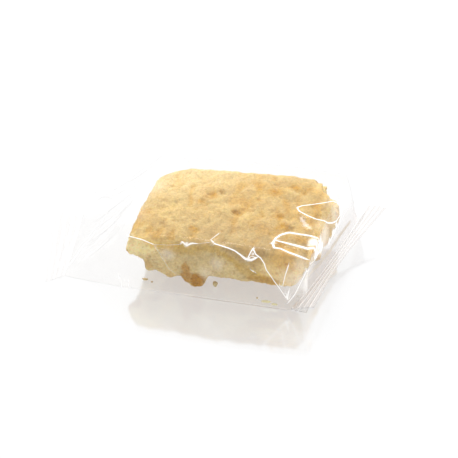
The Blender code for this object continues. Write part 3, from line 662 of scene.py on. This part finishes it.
def floor_material():
    """White gloss that is lit from below."""
    look = settings("financier_studio")
    material, wiring, surface = new_material("white_floor")
    cloud = wiring.noise(wiring.object_place(), 9.0)
    colour = wiring.blend(cloud, shade(look.floor_colour, 0.995), shade(look.floor_colour, 1.005))
    wiring.feed(surface, wiring.shader("BsdfPrincipled", {
        "Base Color": colour, "Roughness": wiring.remap(cloud, 0.3, 0.7, 0.07, 0.1), "IOR": 3.0,
        "Emission Color": (1.0, 1.0, 1.005), "Emission Strength": look.floor_glow}))
    return material


# ---- The cake -------------------------------------------------------------------------------------
def top_height(x, y):
    """The crust's top: a low dome that leans forward and rises towards its back right corner."""
    along = (x - CAKE_MIDDLE[0]) / HALF_LENGTH
    across = y / HALF_WIDTH
    dome = CROWN_FALL_LONG * along ** 2 + CROWN_FALL_WIDE * across ** 2
    rightward = np.clip((x - BACK_LIFT_X[0]) / (BACK_LIFT_X[1] - BACK_LIFT_X[0]), 0.0, 1.0)
    return CROWN_HEIGHT + TOP_TILT * y - dome + BACK_LIFT * rightward * smoothstep(*BACK_LIFT_Y, y)


def smooth_cake_mesh():
    """A finer, smoother copy of the frame's cake."""
    piece = link(bpy.data.objects.new("financier_cake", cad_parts["cake"].data.copy()))
    merged = bmesh.new()
    merged.from_mesh(piece.data)
    bmesh.ops.remove_doubles(merged, verts=merged.verts, dist=1e-7)
    merged.to_mesh(piece.data)
    merged.free()
    fuse = piece.modifiers.new("Fine Facets", "REMESH")
    fuse.mode = "VOXEL"
    fuse.voxel_size = settings("financier_cake").grain
    ease = piece.modifiers.new("Ease Facets", "SMOOTH")
    ease.factor = 0.5
    ease.iterations = 9
    bake_modifiers(piece)
    return piece


def scattered_pits():
    """The pits that are listed, and smaller ones between them."""
    draw = random.Random(PIT_SEED)
    ranges = (*PIT_FIELD, PIT_RADIUS, PIT_DEPTH)
    return [*CRUST_PITS, *([draw.uniform(*ends) for ends in ranges] for _ in range(PIT_COUNT))]


def pit_depth(points, pits):
    """How deep the pits are at each point of the crust."""
    depth = np.zeros(len(points))
    for x, y, radius, deep in pits:
        reach2 = ((points[:, 0] - x) ** 2 + (points[:, 1] - y) ** 2) / radius ** 2
        near = reach2 < 1.0
        depth[near] = np.maximum(depth[near], deep * (1.0 - reach2[near]) ** 2)
    return depth


def spot_mask(points, spots, core, rag):
    """How far each point is inside the nearest of some ragged spots, which are solid up to their core."""
    mask = np.zeros(len(points))
    for centre, halves, strength in spots:
        reach = np.linalg.norm((points - np.array(centre)) / np.array(halves), axis=1) + rag
        mask = np.maximum(mask, strength * (1.0 - smoothstep(core, 1.05, reach)))
    return mask


def toast_mask(points, rag):
    """How brown each point of the crust is baked."""
    mask = np.zeros(len(points))
    for x, y, radius, strength in TOASTED:
        reach = np.hypot(points[:, 0] - x, points[:, 1] - y) / radius + 0.35 * rag
        mask = np.maximum(mask, strength * (1.0 - smoothstep(0.15, 1.0, reach)))
    strength, ends = FLECKS
    flecks = smoothstep(-0.1, 0.55, noise_at(points, 4.5, 31.0)) * smoothstep(*ends, points[:, 0])
    return np.maximum(mask, strength * flecks)


def cake_masks(points, normals):
    """Where the cake is crust, band, toasted and brown, and where light is painted on pale spots and towards
    the back and shade towards the front, each from 0 to 1.
    """
    x, y, z = points.T
    rag = layered_noise(points, ((0.9, 2.2, 5.0), (0.35, 0.9, 9.0)))
    top = top_height(x, y)
    on_front = smoothstep(*FRONT_FACE_Y, y)
    on_end = smoothstep(*END_FACE[0], x) * smoothstep(*END_FACE[1], y)
    line = lerp(top - SIDE_CRUST_DEPTH, np.interp(x, *zip(*CRUST_LINE)), on_front)
    under = lerp(line, top - END_CRUST_DEPTH, on_end) + rag - z
    deep = np.interp(x, *zip(*BAND_DEPTH)) * (1.0 + 0.35 * noise_at(points, 3.1, 14.0))
    band = smoothstep(-0.6, 0.5, under) * (1.0 - smoothstep(0.55 * deep, 1.25 * deep, under))
    band *= lerp(0.3, 1.0, on_front) * (0.88 + 0.3 * noise_at(points, 1.6, 23.0))
    strength, ends = BOTTOM_CRUST
    brown = np.maximum(spot_mask(points, BROWN_SPOTS, 0.65, 0.18 * rag),
                       strength * smoothstep(*ends, normals[:, 2]))
    strength, depths = FRONT_CRUST_FADE
    crust = smoothstep(-0.5, 0.7, -under) * (1.0 - strength * on_front * smoothstep(*depths, top - z))
    strength, end_x, end_y = BROKEN_END
    crust = np.maximum(crust, strength * smoothstep(*end_x, x) * smoothstep(*end_y, y))
    return {"crust": crust, "band": np.clip(band, 0.0, 1.0), "toast": toast_mask(points, rag) * crust,
            # painted light on the pale spots
            "brown": brown, "pale": spot_mask(points, LIT_SPOTS, 0.55, 0.12 * rag) * (1.0 - brown),
            # painted light towards the back of the crust
            "far": smoothstep(*LIT_BACK_REACH, y - LIT_BACK_SLOPE * x) * crust,
            # painted shade towards the front of the crust
            "near": smoothstep(*FRONT_SHADE_REACH[0], x) * smoothstep(*FRONT_SHADE_REACH[1], y)}


def shape_cake():
    piece = smooth_cake_mesh()
    mesh = piece.data
    points, normals = layout_points(mesh), read_vertices(mesh, "normal")
    masks = cake_masks(points, normals)
    on_top = smoothstep(0.35, 0.75, normals[:, 2])
    pits = pit_depth(points, scattered_pits())
    drawn = points * np.array(SWELL_STRETCH)
    height, wavelength, offset = MOUNDS
    mounds = np.sqrt(noise_at(drawn, wavelength, offset) ** 2 + MOUND_SOFTNESS) - MOUND_MIDDLE
    mounds = (height * mounds + layered_noise(drawn, SWELLS)) * (1.0 - FAR_CALM * masks["far"])
    crust = mounds + layered_noise(drawn, CRUST_GRAIN) - PIT_STRENGTH * pits
    pores = [np.clip(1.0 - cells_at(points, spacing, offset) / width, 0.0, 1.0)
             for _, spacing, offset, width in PORES]
    crumb = layered_noise(points, CRUMB_GRAIN) - sum(pore[0] * shape for pore, shape in zip(PORES, pores))
    relief = lerp(crumb, crust, on_top) * settings("financier_cake").relief
    points = points + normals * np.minimum(relief, RELIEF_LIMIT)[:, None]
    points[:, 2] = np.where(points[:, 2] < BELLY_HEIGHT + BELLY_BAND, BELLY_HEIGHT, points[:, 2])
    store_points(mesh, points)
    # Painted shade in the low parts between the mounds, and in the pits of the crust and pores of the crumb
    masks["hollow"] = smoothstep(0.02, -0.2, mounds) * on_top
    masks["pit"] = np.clip(pits * 1.5 * on_top + 0.35 * pores[0] * (1.0 - on_top), 0.0, 1.0)
    for name, values in masks.items():
        store_mask(mesh, name, values)
    mesh.polygons.foreach_set("use_smooth", [True] * len(mesh.polygons))
    mesh.materials.clear()
    mesh.materials.append(sponge_material())
    return piece


# ---- The film -------------------------------------------------------------------------------------
def along_line(line, share):
    """Points on a seal, which lifts off the floor towards its back end."""
    (x0, y0, z0), (x1, y1, z1) = line
    return np.stack([lerp(x0, x1, share), lerp(y0, y1, share),
                     lerp(z0, z1, share ** SEAL_LIFT_POWER)], axis=-1)


def section_shape():
    """Shares across and up of the film's top side, from the front panel to the back panel."""
    width = FLOOR_BACK - FLOOR_FRONT
    corner = FILM_EDGE_RADIUS / CROWN_HEIGHT
    wall = np.arange(WALL_COLUMNS) / WALL_COLUMNS
    turn = math.pi / 2 * np.arange(CORNER_COLUMNS) / CORNER_COLUMNS
    edge = (WALL_LEAN + FILM_EDGE_RADIUS) / width
    across = np.concatenate([WALL_LEAN / width * wall,
                             (WALL_LEAN + FILM_EDGE_RADIUS * (1.0 - np.cos(turn))) / width])
    up = np.concatenate([(1.0 - corner) * wall, 1.0 - corner * (1.0 - np.sin(turn))])
    top = np.linspace(edge, 1.0 - edge, TOP_COLUMNS + 1)
    return (np.concatenate([across, top, 1.0 - across[::-1]]),
            np.concatenate([up, np.ones(len(top)), up[::-1]]))


def film_height(x, y):
    cover = settings("financier_film").cover / MM
    return top_height(x, np.clip(y, -HALF_WIDTH, HALF_WIDTH)) + cover


def body_row(reach, left):
    """One section of the film from shoulder (reach 0) to seal (reach 1), at one end."""
    seal = LEFT_SEAL if left else RIGHT_SEAL
    shoulder = SHOULDER_LEFT if left else SHOULDER_RIGHT
    power = DRAPE_POWER_LEFT if left else DRAPE_POWER_RIGHT

    def spot(across):
        end = along_line(seal, across)
        x = lerp(lerp(*shoulder, across), end[..., 0], reach)
        y = lerp(lerp(FLOOR_FRONT, FLOOR_BACK, across), end[..., 1], reach)
        return x, y, end[..., 2] - LAMINA / 2

    boxed, up = section_shape()
    across = lerp(boxed, SHARES, reach ** GATHER_POWER)
    x, y, foot = spot(across)
    crest = film_height(lerp(*shoulder, across), y)
    pleat = PLEAT_HEIGHT * np.cos(2 * math.pi * PLEATS * across) * math.sin(math.pi * reach) ** 2
    full = lerp(foot + LAMINA, crest, (1.0 - reach) ** power) + pleat
    low = foot * reach ** BASE_LIFT_POWER + LAMINA
    top = np.stack([x, y, lerp(low, np.maximum(low, full), up)], axis=-1)
    x, y, foot = spot(SHARES[::2])
    return top, np.stack([x, y, foot * reach ** BASE_LIFT_POWER], axis=-1)


def middle_row(share):
    """One section of the film over the cake, from the left shoulder to the right one."""
    def plan(part):
        x = lerp(lerp(*SHOULDER_LEFT, part), lerp(*SHOULDER_RIGHT, part), share)
        return x, lerp(FLOOR_FRONT, FLOOR_BACK, part)

    across, up = section_shape()
    x, y = plan(across)
    top = np.stack([x, y, lerp(LAMINA, film_height(x, y), up)], axis=-1)
    x, y = plan(SHARES[::2])
    return top, np.stack([x, y, np.zeros(len(x))], axis=-1)


def crimp_wave(reach, across):
    """Ridges that run along a fin and wander a little, from -1 to 1."""
    wander = 0.08 * np.sin(5.0 * across) + 0.03 * np.sin(11.0 * across + 1.0)
    return np.sin(2 * math.pi * reach * (settings("financier_film").crimps + wander))


def fin_row(reach, left):
    """One line across a fin, from the seal (reach 0) to the fin's end (reach 1)."""
    height = settings("financier_film").crimp_height / MM
    seal, end = (LEFT_SEAL, LEFT_FIN_END) if left else (RIGHT_SEAL, RIGHT_FIN_END)
    line = lerp(along_line(seal, SHARES), along_line(end, SHARES), reach)
    line[:, 0] += (0.0 if left else RIGHT_FIN_BOW) * np.sin(math.pi * SHARES) * reach
    line[:, 2] += height * crimp_wave(reach, SHARES)
    rise = np.array((0.0, 0.0, LAMINA / 2))
    return line + rise, line[::2] - rise


def film_row(kind, reach, left):
    """A section's top and underside, its slack, whether it is sealed, the painted highlight of its crimps'
    ridges and its milk.
    """
    blank = np.zeros(len(SHARES))
    if kind == "middle":
        return (*middle_row(reach), 0.0, 0.0, blank, blank)
    if kind == "body":
        slack = (1.0 if left else END_SLACK) * math.sin(math.pi * reach)
        milk = 0.0 if left else END_VEIL_STRENGTH * smoothstep(*END_VEIL, reach)
        return (*body_row(reach, left), slack, 0.0, blank, blank + milk)
    # Painted highlight along the crimps' ridges
    ridges = FIN_RIDGE_HIGHLIGHT[left] * np.clip(crimp_wave(reach, SHARES), 0.0, 1.0) ** 2
    milk = END_VEIL_STRENGTH * (LEFT_FIN_VEIL if left else 1.0)
    return (*fin_row(reach, left), 0.0, 1.0, ridges, blank + milk)


def film_sheets():
    """The film's sections from the left fin's end to the right fin's end, as arrays over all rows."""
    plan = [("fin", 1.0 - i / LEFT_FIN_ROWS, True) for i in range(LEFT_FIN_ROWS)]
    plan += [("body", 1.0 - i / LEFT_ROWS, True) for i in range(LEFT_ROWS)]
    plan += [("middle", i / MIDDLE_ROWS, False) for i in range(MIDDLE_ROWS + 1)]
    plan += [("body", (i + 1) / RIGHT_ROWS, False) for i in range(RIGHT_ROWS)]
    plan += [("fin", (i + 1) / RIGHT_FIN_ROWS, False) for i in range(RIGHT_FIN_ROWS)]
    return [np.array(made) for made in zip(*(film_row(*row) for row in plan))]


def sheet_normals(sheet):
    """Normals of a grid of points, on the side that faces up over the cake."""
    normals = np.cross(np.gradient(sheet, axis=0), np.gradient(sheet, axis=1))
    normals = normals / np.maximum(np.linalg.norm(normals, axis=-1, keepdims=True), 1e-9)
    return -normals if normals[sheet.shape[0] // 2, sheet.shape[1] // 2, 2] < 0 else normals


def off_segment(points, first, second):
    """From a segment of a crease to each point: the way off it, and the half width beside it."""
    start, step = np.array(first[:3]), np.array(second[:3]) - np.array(first[:3])
    away = points - start
    share = np.clip(away @ step / float(step @ step), 0.0, 1.0)
    return away - share[:, None] * step, lerp(first[3], second[3], share), step


def crease_fields(points, normals):
    """Distance to the nearest crease, its side, half width and strength, at each point."""
    near = np.full(len(points), FAR_OFF)
    side, width, strength = near.copy(), np.ones(len(points)), np.zeros(len(points))
    for power, line in CREASES:
        for first, second in zip(line, line[1:]):
            off, half, step = off_segment(points, first, second)
            distance = np.linalg.norm(off, axis=1)
            closer = distance < near
            along_sheet = off - np.einsum("ij,ij->i", off, normals)[:, None] * normals
            hand = np.where(np.einsum("ij,ij->i", np.cross(off, step), normals) < 0, -1.0, 1.0)
            near[closer] = distance[closer]
            side[closer] = (hand * np.linalg.norm(along_sheet, axis=1))[closer]
            width[closer] = half[closer]
            strength[closer] = power
    return near, side, width, strength


def painted_gleam_mask(points):
    """How strongly the painted highlight of the broad gleams whitens each point of the film."""
    mask = np.zeros(len(points))
    for x, y, z, radius, strength in PAINTED_GLEAMS:
        reach = np.linalg.norm(points - np.array((x, y, z)), axis=1) / radius
        mask = np.maximum(mask, strength * (1.0 - smoothstep(0.15, 1.0, reach)))
    return mask


def cake_reflection_mask(points):
    """How strongly each point of the film carries the painted reflection of the cake."""
    mask = np.zeros(len(points))
    for strength, line in PAINTED_CAKE_REFLECTIONS:
        for first, second in zip(line, line[1:]):
            off, half, _ = off_segment(points, first, second)
            reach = np.linalg.norm(off, axis=1) / half
            mask = np.maximum(mask, strength * (1.0 - smoothstep(0.2, 1.0, reach)))
    return mask


def wrinkle_film(points, normals, slack, sealed, rows):
    """How far each point of the film's top side stands out or in, in millimetres."""
    def stretched(stretch, *layers):
        return layered_noise(points * np.array(stretch), layers)

    edge = np.tile(smoothstep(0.0, 0.12, section_shape()[1]), rows)
    pull = stretched(*FILM_PULL) + stretched(*FINE_PULL)
    on_wall = 1.0 - smoothstep(0.2, 0.8, np.abs(normals[:, 2]))
    lift = lerp(layered_noise(points, FILM_CLING), stretched(WALL_STRETCH, *WALL_CREASING), on_wall)
    lift = lerp(lift, pull, slack) * (1.0 - sealed) * edge
    return lift + sealed * stretched(FILM_PULL[0], FIN_CREASING)


def shell_faces(rows, columns, low_columns):
    """Faces of a shell whose underside has every second point of its top side."""
    faces = []
    count = rows * columns
    for n in range(rows - 1):
        a, b = n * columns, (n + 1) * columns
        c, d = count + n * low_columns, count + (n + 1) * low_columns
        faces += [(a + i, b + i, b + i + 1, a + i + 1) for i in range(columns - 1)]
        faces += [(c + i, c + i + 1, d + i + 1, d + i) for i in range(low_columns - 1)]
        faces.append((a, c, d, b))
        faces.append((a + columns - 1, b + columns - 1, d + low_columns - 1, c + low_columns - 1))
    for n, flip in ((0, False), (rows - 1, True)):
        a, c = n * columns, count + n * low_columns
        for i in range(low_columns - 1):
            trio = [(c + i, a + 2 * i, a + 2 * i + 1), (c + i, a + 2 * i + 1, c + i + 1),
                    (c + i + 1, a + 2 * i + 1, a + 2 * i + 2)]
            faces += [tri[::-1] for tri in trio] if flip else trio
    return faces


def shape_film():
    top, bottom, slack, sealed, ridges, milk = film_sheets()
    rows, columns = top.shape[:2]
    points, below = top.reshape(-1, 3), bottom.reshape(-1, 3)
    normals = sheet_normals(top).reshape(-1, 3)
    near, side, width, strength = crease_fields(points, normals)
    lift = wrinkle_film(points, normals, np.repeat(slack, columns), np.repeat(sealed, columns), rows)
    lift += RIDGE_HEIGHT * strength * np.clip(1.0 - near / (1.9 * width + 0.25), 0.0, 1.0) ** 1.3
    # The crease lines, gleams and crimps' ridges carry painted highlights, and the warm lines a painted
    # reflection of the cake
    masks = {"crease_near": (near, FAR_OFF), "crease_side": (side, FAR_OFF), "crease_width": (width, 1.0),
             "crease_strength": (strength, 0.0), "painted_gleam": (painted_gleam_mask(points), 0.0),
             "crimp_highlight": (ridges.ravel(), 0.0), "veil": (milk.ravel(), 0.0), "cake_reflection": (cake_reflection_mask(points), 0.0)}
    points = points + normals * lift[:, None]
    points[:, 2] = np.maximum(points[:, 2], LAMINA)
    points[:, 1] = np.clip(points[:, 1], LEFT_FIN_END[0][1], FLOOR_BACK)
    below[:, 2] = np.maximum(below[:, 2], 0.0)
    faces = shell_faces(rows, columns, bottom.shape[1])
    piece = piece_from_arrays("film_bag", np.concatenate([points, below]), faces)
    shell = bmesh.new()
    shell.from_mesh(piece.data)
    bmesh.ops.recalc_face_normals(shell, faces=shell.faces)
    shell.to_mesh(piece.data)
    shell.free()
    for name, (values, underneath) in masks.items():
        store_mask(piece.data, name, np.concatenate([values, np.full(len(below), underneath)]))
    piece.data.materials.append(film_material())
    return piece


# ---- Crumbs ---------------------------------------------------------------------------------------
def socket_id(tree, name):
    return next(item.identifier for item in tree.interface.items_tree
                if item.name == name and item.in_out == "INPUT")


def grain_tree():
    """Grains of crumb that cling to a surface."""
    wiring, entry, leave = new_group("Clinging Grains", "GeometryNodeTree", (
        ("Geometry", "INPUT", "Geometry"), ("Density", "INPUT", "Float"), ("Largest", "INPUT", "Float"),
        ("Seed", "INPUT", "Int"), ("Material", "INPUT", "Material"), ("Geometry", "OUTPUT", "Geometry")))

    def draw(values):
        inputs = {"Seed": entry["Seed"], **values}
        return wiring.node("FunctionNodeRandomValue", inputs, data_type="FLOAT_VECTOR").outputs[0]

    spread = wiring.node("GeometryNodeDistributePointsOnFaces", {
        "Mesh": entry["Geometry"], "Density": entry["Density"], "Seed": entry["Seed"]})
    ball = wiring.node("GeometryNodeMeshIcoSphere", {"Radius": 0.5, "Subdivisions": 1})
    size = wiring.node("ShaderNodeVectorMath", {
        0: draw({0: (0.35, 0.35, 0.3), 1: (1.0, 1.0, 0.8)}), "Scale": entry["Largest"]}, operation="SCALE")
    place = wiring.node("GeometryNodeInstanceOnPoints", {
        "Points": spread.outputs["Points"], "Instance": ball.outputs["Mesh"],
        "Rotation": draw({1: (6.28, 6.28, 6.28)}), "Scale": size.outputs[0]})
    real = wiring.node("GeometryNodeRealizeInstances", {"Geometry": place.outputs["Instances"]})
    finish = wiring.node("GeometryNodeSetMaterial", {
        "Geometry": real.outputs["Geometry"], "Material": entry["Material"]})
    wiring.feed(leave["Geometry"], finish.outputs["Geometry"])
    return wiring.tree


def scatter_grains(cake):
    look = settings("financier_crumbs")
    material = crumb_material()
    piece = link(bpy.data.objects.new("clinging_grains", cake.data.copy()))
    scatter = piece.modifiers.new("Clinging Grains", "NODES")
    scatter.node_group = grain_tree()
    for name, value in (("Density", look.grains), ("Largest", look.grain_size),
                        ("Seed", look.seed), ("Material", material)):
        scatter[socket_id(scatter.node_group, name)] = value
    bake_modifiers(piece)
    points = layout_points(piece.data)
    points[:, 2] = np.maximum(points[:, 2], BELLY_HEIGHT)
    store_points(piece.data, points)
    return piece


def crumb_lump(index, centre, size):
    """Points and faces of one loose crumb that lies on the floor."""
    lump = bmesh.new()
    bmesh.ops.create_icosphere(lump, subdivisions=3, radius=0.5)
    shift = Vector((index * 2.7, 1.3, 0.4))
    for vert in lump.verts:
        rough = 1.0 + 0.35 * noise.noise(vert.co * 3.0 + shift) + 0.16 * noise.noise(vert.co * 8.0 + shift)
        vert.co = vert.co * rough
    low = min(vert.co.z for vert in lump.verts) * size[2]
    points = [(centre[0] + vert.co.x * size[0], centre[1] + vert.co.y * size[1],
               centre[2] + vert.co.z * size[2] - low) for vert in lump.verts]
    faces = [tuple(vert.index for vert in face.verts) for face in lump.faces]
    lump.free()
    return points, faces


def lay_loose_crumbs():
    points, faces, paleness = [], [], []
    for index, (centre, size, pale) in enumerate(LOOSE_CRUMBS):
        made, joined = crumb_lump(index, centre, size)
        faces += [tuple(i + len(points) for i in face) for face in joined]
        points += made
        paleness += [pale] * len(made)
    piece = piece_from_arrays("loose_crumbs", points, faces)
    store_mask(piece.data, "pale_crumb", paleness)
    piece.data.materials.append(bpy.data.materials["loose_sponge"])
    return piece


# ---- Operators ------------------------------------------------------------------------------------
class FINANCIER_OT_cake(bpy.types.Operator):
    """Make the cake with its pitted crust and torn crumb"""
    bl_idname = "financier.cake"
    bl_label = "Cake"

    def execute(self, context):
        piece = shape_cake()
        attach(piece, BODY)
        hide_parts("cake")
        return {"FINISHED"}


class FINANCIER_OT_film(bpy.types.Operator):
    """Make the creased clear film with its crimped fins"""
    bl_idname = "financier.film"
    bl_label = "Film"

    def execute(self, context):
        piece = shape_film()
        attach(piece, BODY)
        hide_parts("film_pack")
        return {"FINISHED"}


class FINANCIER_OT_crumbs(bpy.types.Operator):
    """Scatter grains on the cake and loose crumbs beside it"""
    bl_idname = "financier.crumbs"
    bl_label = "Crumbs"

    def execute(self, context):
        for piece in (scatter_grains(bpy.data.objects["financier_cake"]), lay_loose_crumbs()):
            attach(piece, BODY)
        return {"FINISHED"}


def add_area_light(name, place, size, power):
    light = bpy.data.lights.new(name, "AREA")
    light.shape = "RECTANGLE"
    light.size, light.size_y = size
    light.energy = power
    lamp = link(bpy.data.objects.new(name, light))
    lamp.location = place
    lamp.rotation_euler = (Vector(AIM) - Vector(place)).to_track_quat("-Z", "Y").to_euler()
    return lamp


def white_room(look):
    """White surroundings, brighter behind the cake than in front of it."""
    world = bpy.data.worlds.new("White Room")
    world.use_nodes = True
    wiring = Wiring(world.node_tree)
    around = wiring.node("ShaderNodeTexCoord").outputs["Generated"]
    back = wiring.node("ShaderNodeSeparateXYZ", {0: around}).outputs["Y"]
    inputs = world.node_tree.nodes["Background"].inputs
    wiring.feed(inputs["Strength"], wiring.remap(back, -0.3, 0.7, look.world_light, look.backdrop_light))
    wiring.feed(inputs["Color"], (1.0, 1.0, 1.0))
    return world


class FINANCIER_OT_stage(bpy.types.Operator):
    """Lay the floor, set the lights and place the camera"""
    bl_idname = "financier.stage"
    bl_label = "Stage"

    def execute(self, context):
        look = settings("financier_studio")
        bpy.ops.mesh.primitive_plane_add(size=3.0, location=(0.0, 0.0, -FLOOR_GAP))
        floor = context.object
        floor.name = "floor"
        floor.data.materials.append(floor_material())
        context.scene.world = white_room(look)
        key = add_area_light("key", KEY_PLACE, KEY_SIZE, look.key_light)
        key.visible_glossy = False
        add_area_light("glint", GLINT_PLACE, GLINT_SIZE, GLINT_SHARE * look.key_light)
        camera = bpy.data.cameras.new("camera")
        camera.sensor_width = 36.0
        camera.lens = camera.sensor_width * look.view_distance / look.view_width
        camera.clip_start = 0.01
        stand = link(bpy.data.objects.new("camera", camera))
        turn, height = look.view_turn, look.view_height
        back = Vector((math.sin(turn) * math.cos(height), -math.cos(turn) * math.cos(height),
                       math.sin(height)))
        stand.location = Vector(AIM) + back * look.view_distance
        stand.rotation_euler = back.to_track_quat("Z", "Y").to_euler()
        context.scene.camera = stand
        context.scene.view_settings.view_transform = "Standard"
        context.scene.cycles.transparent_max_bounces = 24
        return {"FINISHED"}


class FINANCIER_PT_panel(bpy.types.Panel):
    """Settings and steps of the wrapped financier"""
    bl_idname = "FINANCIER_PT_panel"
    bl_label = "Wrapped Financier"
    bl_space_type = "VIEW_3D"
    bl_region_type = "UI"
    bl_category = "Financier"

    def draw(self, context):
        column = self.layout.column()
        for operator, name, group in STEPS:
            column.operator(operator.bl_idname)
            for setting in group.__annotations__:
                column.prop(getattr(context.scene, name), setting)


STEPS = (
    (FINANCIER_OT_cake, "financier_cake", FinancierCakeSettings),
    (FINANCIER_OT_film, "financier_film", FinancierFilmSettings),
    (FINANCIER_OT_crumbs, "financier_crumbs", FinancierCrumbSettings),
    (FINANCIER_OT_stage, "financier_studio", FinancierStudioSettings),
)


def register():
    for operator, name, group in STEPS:
        bpy.utils.register_class(group)
        setattr(bpy.types.Scene, name, PointerProperty(type=group))
        bpy.utils.register_class(operator)
    bpy.utils.register_class(FINANCIER_PT_panel)


def unregister():
    bpy.utils.unregister_class(FINANCIER_PT_panel)
    for operator, name, group in reversed(STEPS):
        bpy.utils.unregister_class(operator)
        delattr(bpy.types.Scene, name)
        bpy.utils.unregister_class(group)


def main():
    register()
    for operator, _, _ in STEPS:
        prefix, name = operator.bl_idname.split(".")
        getattr(getattr(bpy.ops, prefix), name)()


if __name__ == "__main__":
    main()
